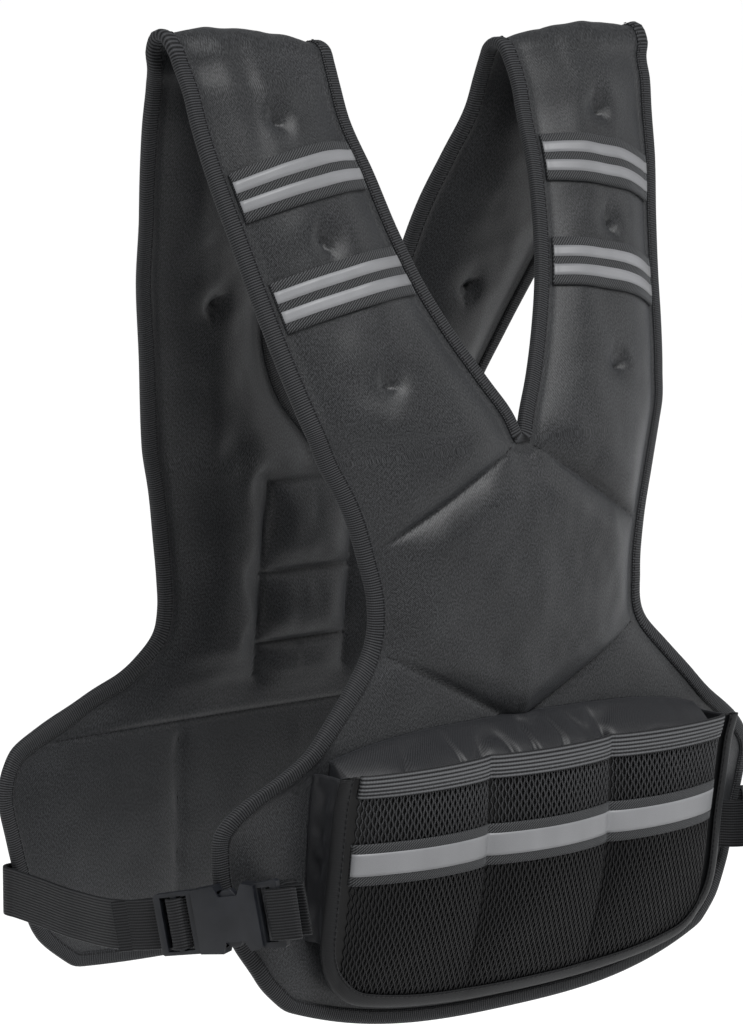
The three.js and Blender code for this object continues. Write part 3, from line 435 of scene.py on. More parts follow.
def half_pad(v, x, face=1):
    """Half the thickness of the padding."""
    v, x = np.broadcast_arrays(np.asarray(v, float), np.asarray(x, float))
    side = np.abs(x)
    pad = diamond_puff(v, side, TRACK["pad"](v))
    edge = swell((edge_distance(v, side) - SWELL_LINE) / SOFT_EDGE)
    half = lerp(RIM_HALF, np.maximum(pad, RIM_HALF + 0.4), edge)
    reach = np.ones_like(half)
    for a, b in SEAMS:
        reach = reach * swell(to_segments(v, side, [a, b]) / SEAM_SOFTNESS)
    half = np.minimum(half, lerp(SEAM_HALF, np.maximum(SEAM_HALF, half), reach))
    half = half + wrinkles(v, x, face) * edge * clamp01((half - 2.5) / 6)
    for a, b in SEAMS:
        groove = GROOVE_DEPTH * bell(to_segments(v, side, [a, b]) / GROOVE_HALF_WIDTH)
        half = half - np.minimum(groove, np.maximum(half - RIM_HALF, 0))
    for tuft_v, tuft_x, tilt in TUFTS:
        dv, dx = v - tuft_v, side - tuft_x
        r = np.hypot(dv, dx) / TUFT_RADIUS
        tilt = np.where(x < 0, -tilt, tilt)
        along = dv * np.sin(tilt) + dx * np.cos(tilt)
        across = dv * np.cos(tilt) - dx * np.sin(tilt)
        dent = TUFT_DEPTH * np.exp(-r * r * 2.2)
        crease = CREASE_DEPTH * bell(across / CREASE_HALF_WIDTH) * bell(along / CREASE_HALF_LENGTH)
        legs = np.abs(dx) - FOLD_LEAN * (dv + TUFT_FOLD)
        fade = bell((dv + 6) / 6.0) * np.where(dx * x < 0, 1.3, 0.5)
        fold = fade * bell(legs / FOLD_HALF_WIDTH) * (dv > -TUFT_FOLD)
        half = half - np.minimum(dent + crease + fold, np.maximum(half - RIM_HALF, 0))
    return half


# Meshes
def quads(rows, cols, wrap_rows=False, wrap_cols=False):
    """Faces of a grid of points, and the same faces over its unwrapped flat grid."""
    i, j = np.indices((rows - 1 + wrap_rows, cols - 1 + wrap_cols))
    i2, j2 = (i + 1) % rows, (j + 1) % cols
    faces = np.stack([i * cols + j, i * cols + j2, i2 * cols + j2, i2 * cols + j], -1)
    width = cols + wrap_cols
    first = i * width + j
    flat = np.stack([first, first + 1, first + width + 1, first + width], -1)
    return faces.reshape(-1, 4), flat.reshape(-1, 4)


def volume_of(points, faces):
    a, b, c, d = (points[faces[:, k]] for k in range(4))
    return float((a * (np.cross(b, c) + np.cross(c, d))).sum())


def dress(obj, material):
    """Gives an object its material and slot, and sets it on the vest's body."""
    mesh = obj.data
    mesh.polygons.foreach_set("use_smooth", np.full(len(mesh.polygons), True))
    mesh.materials.clear()
    mesh.materials.append(material)
    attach(obj, "root")


def linked(name, data):
    obj = bpy.data.objects.new(name, data)
    bpy.context.scene.collection.objects.link(obj)
    return obj


def add_object(name, mesh, material):
    obj = linked(name, mesh)
    dress(obj, material)
    return obj


def piece(name, points, faces, uv, material):
    """A mesh object from points in millimetres, quads and one flat coordinate per corner."""
    points = np.asarray(points, float).reshape(-1, 3)
    if volume_of(points, faces) < 0:
        faces, uv = faces[:, ::-1], uv[:, ::-1]
    mesh = bpy.data.meshes.new(name)
    mesh.vertices.add(len(points))
    mesh.vertices.foreach_set("co", (points / 1000).ravel())
    mesh.loops.add(faces.size)
    mesh.loops.foreach_set("vertex_index", faces.ravel())
    mesh.polygons.add(len(faces))
    mesh.polygons.foreach_set("loop_start", np.arange(0, faces.size, 4))
    mesh.polygons.foreach_set("loop_total", np.full(len(faces), 4))
    mesh.update(calc_edges=True)
    mesh.validate()
    layer = mesh.uv_layers.new(name="flat")
    layer.data.foreach_set("uv", (uv.reshape(-1, 2) / 1000).ravel())
    return add_object(name, mesh, material)


def loft(name, points, uv, material, closed=False):
    """A closed body from rings of points (rows) that run round it (columns)."""
    rows, cols = points.shape[:2]
    faces, flat = quads(rows, cols, closed, True)
    corner_uv = uv.reshape(-1, 2)[flat]
    if not closed:
        caps, cap_uv = [], []
        for row in (0, rows - 1):
            for j in range(cols // 2 - 1):
                ids = [j, j + 1, cols - 2 - j, cols - 1 - j]
                if row == 0:
                    ids.reverse()
                caps.append([row * cols + k for k in ids])
                cap_uv.append([uv[row, k] for k in ids])
        faces = np.concatenate([faces, np.array(caps)])
        corner_uv = np.concatenate([corner_uv, np.array(cap_uv)])
    return piece(name, points, faces, corner_uv, material)


def skin(name, top, under, flat, material):
    """A closed sheet between two grids of points."""
    points = np.concatenate([top, under[:, ::-1]], 1)
    uv = np.concatenate([flat, flat[:, ::-1], flat[:, :1]], 1)
    return loft(name, points, uv, material)


def sheet(name, v, x, low, high, material):
    """A sheet over a grid of the flat pattern, from the height low to the height high."""
    return skin(name, place(v, x, high), place(v, x, low), np.stack([x, v], -1), material)


def declare_sheet(points):
    """Scales a sheet's grid of points from millimetres to metres, and does nothing more with it."""
    points = points / 1000


def stitches(name, rows, length, radius, material):
    """Small thread stitches, each a pointed five-sided bead, as one mesh.

    A row holds the stitches' places, the ways they run and points straight above them."""
    centres, along, above = (np.concatenate(parts) for parts in zip(*rows))
    along, out = unit(along), above - centres
    side = unit(np.cross(along, out))
    up = np.cross(side, along)
    sides = 5
    rings = []
    for at, girth in ((-0.5, 0.15), (-0.3, 1), (0.3, 1), (0.5, 0.15)):
        for angle in np.linspace(0, 2 * np.pi, sides, endpoint=False):
            rings.append(
                centres
                + along * (at * length)
                + side * (girth * radius * math.cos(angle))
                + up * (girth * radius * STITCH_FLATNESS * math.sin(angle))
            )
    points = np.stack(rings, 1)
    walls = quads(4, sides, False, True)[0].tolist()
    last = 4 * sides - 1
    bead = [*walls, list(range(sides)), list(range(last, last - sides, -1))]
    faces = [[k + 4 * sides * i for k in face] for i in range(len(centres)) for face in bead]
    mesh = bpy.data.meshes.new(name)
    mesh.from_pydata((points.reshape(-1, 3) / 1000).tolist(), [], faces)
    mesh.update()
    return add_object(name, mesh, material)


def welded(points, faces):
    found = np.unique(np.round(points, 3), axis=0, return_index=True, return_inverse=True)
    return points[found[1]], found[2].reshape(-1)[faces]


# Materials
NYLON_TONES = (0.006, 0.0063, 0.0072), (0.021, 0.0215, 0.0235)
# Heights in metres over which the net's strands go from painted shade low on the pocket to a
# lighter tone near its mouth
NET_PAINTED_SHADE_HEIGHTS = -0.40, -0.355


class Nodes:
    """Builds a material's node tree from short calls."""

    def __init__(self, name, uv=True):
        self.material = bpy.data.materials.new(name)
        self.material.use_nodes = True
        self.tree = self.material.node_tree
        self.shader = self.tree.nodes["Principled BSDF"]
        if uv:
            node = self.tree.nodes.new("ShaderNodeUVMap")
            node.uv_map = "flat"
            self.uv = node.outputs[0]
            self.u, self.v, _ = self.node("ShaderNodeSeparateXYZ", {0: self.uv}).outputs

    def link(self, a, b):
        self.tree.links.new(a, b)

    def put(self, socket, value):
        if isinstance(value, bpy.types.NodeSocket):
            self.link(value, socket)
        else:
            socket.default_value = value

    def fill(self, node, inputs):
        for key, value in inputs.items():
            self.put(node.inputs[key], value)

    def node(self, kind, inputs):
        node = self.tree.nodes.new(kind)
        self.fill(node, inputs)
        return node

    def math(self, operation, *values):
        node = self.tree.nodes.new("ShaderNodeMath")
        node.operation = operation
        for socket, value in zip(node.inputs, values):
            self.put(socket, value)
        return node.outputs[0]

    def add(self, a, b):
        return self.math("ADD", a, b)

    def times(self, a, b):
        return self.math("MULTIPLY", a, b)

    def wave(self, coordinate, pitch, phase=0.0):
        """A ridge from 0 to 1 that repeats every pitch metres."""
        turned = self.math("MULTIPLY_ADD", coordinate, 2 * math.pi / pitch, phase)
        return self.math("MULTIPLY_ADD", self.math("SINE", turned), 0.5, 0.5)

    def object_point(self):
        return self.tree.nodes.new("ShaderNodeTexCoord").outputs["Object"]

    def noise(self, scale, detail=2.0, stretch=None, vector=None):
        vector = vector or self.uv
        if stretch:
            turn = (0, 0, sum(stretch[3:]))
            inputs = {"Vector": vector, "Scale": stretch[:3], "Rotation": turn}
            vector = self.node("ShaderNodeMapping", inputs).outputs[0]
        inputs = {"Vector": vector, "Scale": scale, "Detail": detail, "Roughness": 0.55}
        return self.node("ShaderNodeTexNoise", inputs).outputs[0]

    def ramp(self, factor, low, high, from_at=0.0, to_at=1.0):
        """A colour between two, by a factor."""
        inputs = {"Value": factor, "From Min": from_at, "From Max": to_at}
        node = self.node("ShaderNodeMapRange", inputs)
        return self.mix(node.outputs[0], low, high)

    def mix(self, factor, low, high, blend="MIX"):
        node = self.tree.nodes.new("ShaderNodeMix")
        node.data_type = "RGBA"
        node.blend_type = blend
        self.put(node.inputs["Factor"], factor)
        for index, color in ((6, low), (7, high)):
            self.put(node.inputs[index], (*color, 1) if isinstance(color, tuple) else color)
        return node.outputs[2]

    def bump(self, height, distance, strength=1.0):
        inputs = {"Height": height, "Strength": strength, "Distance": distance}
        self.link(self.node("ShaderNodeBump", inputs).outputs[0], self.shader.inputs["Normal"])

    def finish(self, color, roughness, sheen=0.0, sheen_tint=(1, 1, 1), specular=0.5):
        inputs = {
            "Base Color": color,
            "Roughness": roughness,
            "Sheen Weight": sheen,
            "Sheen Roughness": 0.45,
            "Sheen Tint": (*sheen_tint, 1),
            "Specular IOR Level": specular,
        }
        self.fill(self.shader, inputs)
        return self.material


def knit_material():
    n = Nodes("knit")
    speckle = n.noise(1500, 1.0, (1.0, 0.55, 1.0, math.radians(38)))
    cloud = n.noise(28, 3.0)
    twill = n.wave(n.add(n.u, n.v), 0.001)
    grain = n.add(n.times(speckle, 0.78), n.times(twill, 0.22))
    base = n.ramp(grain, (0.0035, 0.0037, 0.0042), (0.042, 0.0435, 0.046), 0.34, 0.78)
    shade = n.ramp(cloud, (0.82, 0.82, 0.82), (1.12, 1.12, 1.12), 0.3, 0.7)
    color = n.mix(1.0, base, shade, "MULTIPLY")
    n.bump(grain, 0.00018, 0.7)
    return n.finish(color, 0.42, 0.04, (0.85, 0.9, 1.0), 0.2)


def ribbed_material(name, dark, light, pitch, across=False, roughness=0.6, depth=0.00025):
    """Tape or webbing with fine ribs that run across it, or along it."""
    n = Nodes(name)
    ribs = n.wave(n.v if across else n.u, pitch)
    cross = n.wave(n.u if across else n.v, pitch * 0.8)
    fuzz = n.noise(1800, 1.0)
    height = n.add(n.times(ribs, 0.8), n.add(n.times(cross, 0.12), n.times(fuzz, 0.25)))
    color = n.ramp(height, dark, light, 0.25, 1.0)
    n.bump(height, depth, 0.9)
    return n.finish(color, roughness, 0.04, (0.9, 0.95, 1.0), 0.12)


def twill_material(name, dark, light, pitch):
    n = Nodes(name)
    diagonal = n.wave(n.add(n.u, n.times(n.v, 1.0)), pitch)
    yarns = n.wave(n.u, pitch * 0.7)
    fuzz = n.noise(1500, 1.0)
    height = n.add(n.times(diagonal, 0.6), n.add(n.times(yarns, 0.2), n.times(fuzz, 0.3)))
    color = n.ramp(height, dark, light, 0.3, 0.95)
    n.bump(height, 0.0002, 0.8)
    return n.finish(color, 0.68, 0.06, (0.9, 0.95, 1.0), 0.12)


def silver_material():
    n = Nodes("silver")
    grit = n.noise(2200, 2.0)
    smear = n.noise(22, 3.0, (1.0, 0.5, 1.0))
    value = n.add(n.times(grit, 0.3), n.times(smear, 0.7))
    color = n.ramp(value, (0.105, 0.107, 0.112), (0.175, 0.178, 0.186), 0.3, 0.7)
    n.bump(grit, 0.00006, 0.4)
    return n.finish(color, 0.5)


def nylon_material(name="nylon", tone=1.0):
    n = Nodes(name)
    dark, light = (tuple(tone * c for c in color) for color in NYLON_TONES)
    twill = n.wave(n.add(n.u, n.times(n.v, 1.4)), 0.0011)
    speckle = n.noise(1400, 1.0)
    crinkle = n.noise(60, 4.0, (1.0, 0.5, 1.0))
    grain = n.add(n.times(twill, 0.45), n.times(speckle, 0.55))
    color = n.ramp(grain, dark, light, 0.25, 0.8)
    n.bump(n.add(n.times(grain, 0.12), crinkle), 0.0008, 0.5)
    return n.finish(color, 0.44, 0.03, (0.85, 0.9, 1.0), 0.2)


def strand_material():
    n = Nodes("net_strand", uv=False)
    at = n.object_point()
    fibre = n.noise(2500, 1.0, vector=at)
    height = n.node("ShaderNodeSeparateXYZ", {0: at}).outputs[2]
    # Painted shade and light: strands low on the pocket are painted darker, and those near its
    # mouth lighter, by their height
    light = n.ramp(height, (0.007, 0.007, 0.0078), (0.048, 0.049, 0.052), *NET_PAINTED_SHADE_HEIGHTS)
    color = n.ramp(fibre, (0.003, 0.003, 0.0034), light, 0.3, 0.7)
    n.bump(fibre, 0.0001, 0.5)
    return n.finish(color, 0.5, specular=0.16)


def thread_material(name, color):
    n = Nodes(name, uv=False)
    fibre = n.noise(3000, 1.0, vector=n.object_point())
    low = tuple(c * 0.6 for c in color)
    return n.finish(n.ramp(fibre, low, color, 0.3, 0.7), 0.55, specular=0.2)


def plastic_material():
    n = Nodes("buckle_plastic", uv=False)
    at = n.object_point()
    grain = n.noise(1200, 3.0, vector=at)
    scuff = n.noise(70, 5.0, vector=at)
    color = n.ramp(scuff, (0.0045, 0.0052, 0.007), (0.0085, 0.0095, 0.012), 0.35, 0.65)
    n.bump(grain, 0.00008, 0.5)
    rough = n.math("MULTIPLY_ADD", scuff, 0.2, 0.34)
    return n.finish(color, rough, specular=0.25)


KNIT = knit_material()
TAPE = ribbed_material("binding", (0.0022, 0.0023, 0.0027), (0.034, 0.035, 0.0375), 0.00125)
SATIN_TAPE = ribbed_material(
    "satin_binding", (0.003, 0.003, 0.0034), (0.008, 0.0083, 0.009), 0.0008, False, 0.5, 0.0001
)
ELASTIC = ribbed_material("elastic", (0.006, 0.006, 0.0066), (0.085, 0.087, 0.091), 0.0019, True)
TWILL = twill_material("twill_elastic", (0.0035, 0.0037, 0.004), (0.062, 0.0635, 0.0665), 0.0015)
SILVER = silver_material()
NYLON = nylon_material()
NET = strand_material()
# The net's backing layer is real, but its nylon is darkened far below its own black as painted
# shade in the net's holes
PAINTED_SHADE_BACKING = nylon_material("net_backing_painted_shade", 0.08)
WEBBING = ribbed_material(
    "webbing", (0.0016, 0.0016, 0.0019), (0.0165, 0.017, 0.0185), 0.0014, True, 0.6, 0.0004
)
THREAD = thread_material("thread", (0.007, 0.007, 0.008))
DARK_THREAD = thread_material("dark_thread", (0.012, 0.012, 0.013))
PLASTIC = plastic_material()


# Padded shell
def shell_rows():
    """Rows of the padding's grid, closer together over the quilting and the shoulders."""
    rungs = v_at_drop(-1, 0.76), v_at_drop(-1, 0.46)
    diamond = FRONT_NOTCH_V - 6, v_at_drop(1, 0.72)
    spans = [
        (BACK_HEM_V, rungs[0], 3.0),
        (*rungs, 1.8),
        (rungs[1], -24, 3.0),
        (-24, 24, 2.0),
        (24, diamond[0], 3.0),
        (*diamond, 1.5),
        (diamond[1], FRONT_HEM_V, 3.0),
    ]
    fixed = [BACK_NOTCH_V, FRONT_NOTCH_V, FRONT_HEM_V]
    rows = np.sort(np.concatenate([np.arange(*span) for span in spans] + [fixed]))
    keep = [rows[0]]
    for v in rows[1:]:
        if v in fixed and keep[-1] not in fixed and v - keep[-1] < 0.7:
            keep[-1] = v
        elif v - keep[-1] > 0.7 or v in fixed:
            keep.append(v)
    return np.array(keep)


def padded_shell():
    rows = shell_rows()
    u = np.linspace(0, 1, 54)
    inner, outer = neck_at(rows)[:, None], arm_at(rows)[:, None]
    side = inner + (outer - inner) * u[None]
    v = rows[:, None] + hem_shift(rows[:, None], side)
    points, faces, flats = [], [], []
    r, c = side.shape
    for x in (side, -side):
        for face in (1, -1):
            points.append(place(v, x, face * half_pad(v, x, face)).reshape(-1, 3))
            flats.append(np.stack([x, v], -1).reshape(-1, 2))
    size = r * c
    grid, _ = quads(r, c)
    straps = np.nonzero((rows[:-1] >= BACK_NOTCH_V - 1e-6) & (rows[1:] <= FRONT_NOTCH_V + 1e-6))[0]
    along, across = np.arange(r - 1) * c, np.arange(c - 1)
    for k, sign in enumerate((1, -1)):
        top, under = 2 * k * size, (2 * k + 1) * size
        faces.append(top + grid[:, ::sign])
        faces.append(under + grid[:, ::-sign])
        for i, step, turn in (
            (along + c - 1, c, sign),
            (straps * c, c, -sign),
            (across, 1, -sign),
            ((r - 1) * c + across, 1, sign),
        ):
            rim = np.stack([top + i, under + i, under + i + step, top + i + step], -1)
            faces.append(rim[:, ::turn])
    points, flats = np.concatenate(points), np.concatenate(flats)
    faces = np.concatenate(faces)
    uv = flats[faces]
    points, faces = welded(points, faces)
    shell = piece("quilted_shell", points, faces, uv, KNIT)
    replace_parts(shell, "padded_shell")


# Edge tapes
def resample(chain, step, closed=False):
    """Points a near-equal step apart along a chain of flat points."""
    chain = np.asarray(chain, float)
    if closed:
        chain = np.concatenate([chain, chain[:1]])
    run = run_along(chain)
    count = max(2, int(round(run[-1] / step)))
    at = np.linspace(0, run[-1], count + 1)
    if closed:
        at = at[:-1]
    return np.stack([np.interp(at, run, chain[:, k]) for k in range(chain.shape[1])], -1)


def smoothed(chain, passes, closed):
    for _ in range(passes):
        if closed:
            chain = (np.roll(chain, 1, 0) + 2 * chain + np.roll(chain, -1, 0)) / 4
        else:
            chain[1:-1] = (chain[:-2] + 2 * chain[1:-1] + chain[2:]) / 4
    return chain


def along_of(chain, closed):
    if closed:
        return np.roll(chain, -1, 0) - np.roll(chain, 1, 0)
    return np.gradient(chain, axis=0)


def inward_of(chain, closed):
    tangent = along_of(chain, closed)
    slant = clamp01((np.abs(chain[:, 0]) - 25) / 25) * -tangent[:, 1]
    return unit(np.stack([slant, tangent[:, 0]], -1))


def rounded_tape(name, chain, closed, middle, gap, material, width=TAPE_REACH):
    """A tape folded over an edge, with a soft rolled edge."""
    inward = inward_of(chain, closed)
    top = gap + TAPE_THICKNESS
    outline = [
        (width, top - 0.55), (width - 0.5, top - 0.1), (width * 0.66, top + 0.12),
        (width * 0.33, top + 0.14), (0.6, top - 0.05), (-0.6, top * 0.78),
        (-1.25, top * 0.42), (-1.4, 0),
    ]
    outer = outline + [(d, -h) for d, h in outline[-2::-1]]
    inner = [(width, -gap), (0, -gap), (-0.6, 0), (0, gap), (width, gap)]
    ring = np.array(outer + inner)
    rings = []
    run = run_along(chain)
    for d, h in ring:
        v, x = (chain + inward * d).T
        rings.append(place(v, x, middle(v, x) + h))
    girth = np.append(run_along(ring), 80)
    step = run[-1] / (len(run) - 1)
    rows = np.append(run, run[-1] + step) if closed else run
    flat = np.stack(np.broadcast_arrays(rows[:, None], girth[None]), -1)
    return loft(name, np.stack(rings, 1), flat, material, closed)


def tape_stitches(name, chain, closed, middle, height, distance, faces=(1, -1)):
    line = resample(chain, 3.1, closed)
    inward = inward_of(line, closed)
    v, x = (line + inward * distance).T
    rows = []
    for face in faces:
        here = place(v, x, middle(v, x) + face * height)
        above = place(v, x, middle(v, x) + face * (height + 1))
        rows.append((here, along_of(here, closed), above))
    return stitches(name, rows, 2.2, 0.32, THREAD)


def flat_middle(v, _):
    return np.zeros_like(v)


def outer_chain():
    """The outer edge from the middle of the front hem, up one side, down the back and round."""
    half = np.linspace(0, 1, 90)
    front_x = half * arm_at(FRONT_HEM_V)
    front = np.stack([front_hem_v(front_x), front_x], -1)
    back_x = half[::-1] * arm_at(BACK_HEM_V)
    back = np.stack([back_hem_v(back_x), back_x], -1)
    arm = arm_chain(np.linspace(FRONT_HEM_V, BACK_HEM_V, 1200)[1:-1])
    right = np.concatenate([front, arm, back])
    left = right[-2:0:-1] * [1, -1]
    return np.concatenate([right, left])


def neck_chain():
    v = np.linspace(BACK_NOTCH_V, FRONT_NOTCH_V, 500)
    right = np.stack([v, neck_at(v)], -1)
    right[0, 1] = right[-1, 1] = 0
    left = right[-2:0:-1] * [1, -1]
    return np.concatenate([right, left])


def bindings():
    for name, chain, node in (
        ("outer_tape", outer_chain(), "outer_binding"),
        ("neck_tape", neck_chain(), "neck_binding"),
    ):
        line = smoothed(resample(chain, 2.0, True), 3, True)
        tape = rounded_tape(name, line, True, flat_middle, TAPE_GAP, TAPE)
        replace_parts(tape, node)
        tape_stitches(name + "_stitches", line, True, flat_middle, TAPE_GAP + 0.9, 5.4)


# Keepers
def side_at(v, chain, distance, start, end):
    near, far = np.zeros_like(v), np.ones_like(v)
    for _ in range(14):
        t = (near + far) / 2
        close = to_segments(v, lerp(start, end, t), chain) < distance
        near, far = np.where(close, t, near), np.where(close, far, t)
    return lerp(start, end, far)


def keeper_grid(drop, sign, low, high, rows):
    across = np.linspace(low, high, rows)[:, None]
    share = np.linspace(0, 1, 40)[None]
    v = v_at_drop(1, drop) - KEEPER_SLANT * (1 - share) + across
    neck, arm = neck_at(v), arm_at(v)
    inner = side_at(v, NECK_CHAIN, KEEPER_INSET - 2.2, neck, arm)
    outer = side_at(v, ARM_CHAIN, KEEPER_INSET - 2.2, arm, neck)
    return v, sign * lerp(inner, outer, share)


def keeper_height(v, x):
    """Bands stand on the padding, half a millimetre above it."""
    return half_pad(v, x) + 0.5


def keepers():
    for level, drop in KEEPER_DROPS.items():
        for side, sign in SIDES:
            v, x = keeper_grid(drop, sign, 0, KEEPER_WIDTH, 14)
            base = keeper_height(v, x)
            across = np.linspace(0, 1, 14)[:, None]
            edge = 0.35 * np.minimum(1, np.minimum(across, 1 - across) * 9)
            top = base + KEEPER_THICKNESS - 0.35 + edge
            band = sheet(f"{level}_band_{side}", v, x, base, top, TWILL)
            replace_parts(band, f"{level}_keeper_{side}")
            for where, shift in (("top", -0.5), ("bottom", 0.5)):
                start = (KEEPER_WIDTH - STRIPE_WIDTH) / 2 + shift * STRIPE_SPACING
                v, x = keeper_grid(drop, sign, start, start + STRIPE_WIDTH, 4)
                base = keeper_height(v, x) + KEEPER_THICKNESS
                name = f"{level}_stripe_{where}_{side}"
                stripe = sheet(name, v, x, base - 0.2, base + 0.3, SILVER)
                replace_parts(stripe, f"{level}_keeper_stripe_{where}_{side}")


# Pocket
POCKET_MOUTH_V = v_at_drop(1, POCKET_MOUTH_DROP)


def pocket_foot_v(x):
    past = np.maximum(0, np.abs(x) - (POCKET_HALF_WIDTH - POCKET_CORNER_RADIUS))
    corner = POCKET_CORNER_RADIUS - np.sqrt(np.maximum(0, POCKET_CORNER_RADIUS**2 - past**2))
    return front_hem_v(x) - POCKET_HEM_GAP - corner


def bay_share(x):
    bays = clamp01((x + BAYS_HALF_WIDTH) / (2 * BAYS_HALF_WIDTH)) * BAY_COUNT
    part = bays - np.minimum(BAY_COUNT - 1, np.floor(bays))
    return np.sin(np.pi * clamp01(part)) ** 0.55


def pocket_height(v, x):
    down = clamp01((v - POCKET_MOUTH_V) / (FRONT_HEM_V - POCKET_HEM_GAP - POCKET_MOUTH_V))
    side = lerp(POCKET_STANDOFF, POCKET_FOOT, down**2.6)
    bulge = BAY_BULGE * (0.5 + 0.5 * np.sin(np.pi * np.minimum(1, down + 0.2)))
    slack = value_noise(v, x, 26, 41) * 0.5 * clamp01(down * 6) * (1 - down**4)
    return side + bulge * bay_share(x) * (1 - down**6) + slack


def pocket_net():
    """Spacer mesh: yarns that swing from side to side and meet in turn round tall holes."""
    spacing, period, swing, radius = 1.7, 6.0, 0.42, 0.47
    sides = 4
    count = int(2 * BAYS_HALF_WIDTH / spacing)
    lines = (np.arange(count) - (count - 1) / 2) * spacing
    ring = np.linspace(0, 2 * np.pi, sides, endpoint=False) + np.pi / 4
    points, faces, base = [], [], 0
    for k, x0 in enumerate(lines):
        foot = float(pocket_foot_v(x0)) - 1
        v = np.arange(POCKET_MOUTH_V + 9, foot, period / 6)
        phase = 2 * np.pi * v / period + k * np.pi
        x = x0 + swing * np.cos(phase)
        centre = pocket_height(v, x) + POCKET_WALL - 0.2
        lean = -swing * np.sin(phase)
        rows = []
        for angle in ring:
            across, out = radius * math.cos(angle), radius * math.sin(angle)
            rows.append(place(v - across * lean * 0.6, x + across, centre + out))
        rows = np.stack(rows, 1)
        grid, _ = quads(len(v), sides, False, True)
        points.append(rows.reshape(-1, 3))
        faces.append(grid + base)
        caps = np.array([[0, 1, 2, 3], [3, 2, 1, 0]]) + [[base], [base + (len(v) - 1) * sides]]
        faces.append(caps[:, ::-1])
        base += len(v) * sides
    points, faces = np.concatenate(points), np.concatenate(faces)
    return piece("pocket_net", points, faces, np.zeros((len(faces), 4, 2)), NET)


def pocket_grid(top, bottom, rows, cols, half=BAYS_HALF_WIDTH):
    x = np.linspace(-half, half, cols)[None].repeat(rows, 0)
    t = np.linspace(0, 1, rows)[:, None]
    top, bottom = (edge(x) if callable(edge) else edge + 0 * x for edge in (top, bottom))
    return lerp(top, bottom, t), x


def pocket_wall():
    v, x = pocket_grid(POCKET_MOUTH_V, pocket_foot_v, 70, 180, POCKET_HALF_WIDTH)
    base = pocket_height(v, x)
    # The backing sheet carries painted shade for the holes of the net
    wall = sheet("pocket_backing", v, x, base - 0.2, base + 0.5, PAINTED_SHADE_BACKING)
    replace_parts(wall, "pocket_mesh")
    declare_sheet(place(v, x, base))


def elastic_hem():
    rows = 34
    v, x = pocket_grid(POCKET_MOUTH_V - 0.6, POCKET_MOUTH_V + ELASTIC_HEM_HEIGHT, rows, 200)
    t = np.linspace(0, 1, rows)[:, None]
    ribs = 0.55 * np.abs(np.sin(np.pi * t * 5.5)) * (t < 0.8) + 0.16 * (t >= 0.8)
    gathers = 0.12 * np.sin(x * 2 * np.pi / 3.4) * (t > 0.72)
    base = pocket_height(v, x) + POCKET_WALL + 0.1
    top = base + 1.2 + ribs + gathers
    hem = sheet("pocket_hem_elastic", v, x, base - 0.1, top, ELASTIC)
    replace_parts(hem, "pocket_elastic_hem")
    hem_stitches()


def hem_stitches():
    x = np.arange(-BAYS_HALF_WIDTH + 2, BAYS_HALF_WIDTH - 2, 2.9)
    v = np.full_like(x, POCKET_MOUTH_V + ELASTIC_HEM_HEIGHT - 2.2)
    height = pocket_height(v, x) + POCKET_WALL + 1.6
    here, above = place(v, x, height), place(v, x, height + 1)
    rows = [(here, np.gradient(here, axis=0), above)]
    stitches("pocket_hem_stitches", rows, 2.0, 0.3, DARK_THREAD)


def reflective_band():
    top = POCKET_MOUTH_V + REFLECTIVE_BAND_DROP
    v, x = pocket_grid(top, top + REFLECTIVE_BAND_HEIGHT, 12, 200)
    base = pocket_height(v, x) + POCKET_WALL + 0.4
    tape = sheet("pocket_band_tape", v, x, base - 0.5, base + 0.55, TWILL)
    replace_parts(tape, "pocket_reflective_band")
    top += (REFLECTIVE_BAND_HEIGHT - SILVER_HEIGHT) / 2
    v, x = pocket_grid(top, top + SILVER_HEIGHT, 8, 200)
    base = pocket_height(v, x) + POCKET_WALL + 0.95
    sheet("pocket_band_silver", v, x, base - 0.3, base + 0.25, SILVER)


def pocket_chain():
    side_v = np.linspace(POCKET_MOUTH_V, float(pocket_foot_v(POCKET_HALF_WIDTH)), 60)
    side = np.stack([side_v, np.full_like(side_v, -POCKET_HALF_WIDTH)], -1)
    x = np.linspace(-POCKET_HALF_WIDTH, POCKET_HALF_WIDTH, 240)
    foot = np.stack([pocket_foot_v(x), x], -1)
    return np.concatenate([side, foot, side[::-1] * [1, -1]])


def pocket_middle(v, x):
    inside = np.clip(x, -POCKET_HALF_WIDTH, POCKET_HALF_WIDTH)
    return pocket_height(v, inside) + POCKET_WALL / 2


def pocket_tape():
    line = smoothed(resample(pocket_chain(), 2.0), 3, False)
    gap = POCKET_WALL / 2 + 0.75
    tape = rounded_tape("pocket_tape", line, False, pocket_middle, gap, SATIN_TAPE, 5.5)
    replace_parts(tape, "pocket_binding")
    tape_stitches("pocket_tape_stitches", line, False, pocket_middle, gap + 1.1, 4.5, (1,))


def pocket_lining():
    def top(x):
        return POCKET_MOUTH_V - LINING_SEAM_RISE * (1 - 0.7 * (x / BAYS_HALF_WIDTH) ** 4)

    def bottom(x):
        return np.minimum(POCKET_MOUTH_V + LINING_DEPTH, pocket_foot_v(x) - 24)

    v, x = pocket_grid(top, bottom, 60, 200)
    floor = half_pad(v, x) + 0.4
    slope = clamp01((v - top(x) + 1) / (LINING_SEAM_RISE + 6))
    full = pocket_height(np.maximum(v, POCKET_MOUTH_V), x) - 0.5
    lines = value_noise(v * 0.8 + x * 0.3, x, 17, 51)
    folds = value_noise(v, x * 0.7, 9, 52) * 0.9 - 3.4 * bell(lines / 0.16)
    roof = lerp(floor, full, np.sin(slope * np.pi / 2)) + folds * ease(slope * 2.2)
    lining = sheet("pocket_packs", v, x, floor, np.maximum(floor + 0.5, roof), NYLON)
    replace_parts(lining, "pocket_lining")


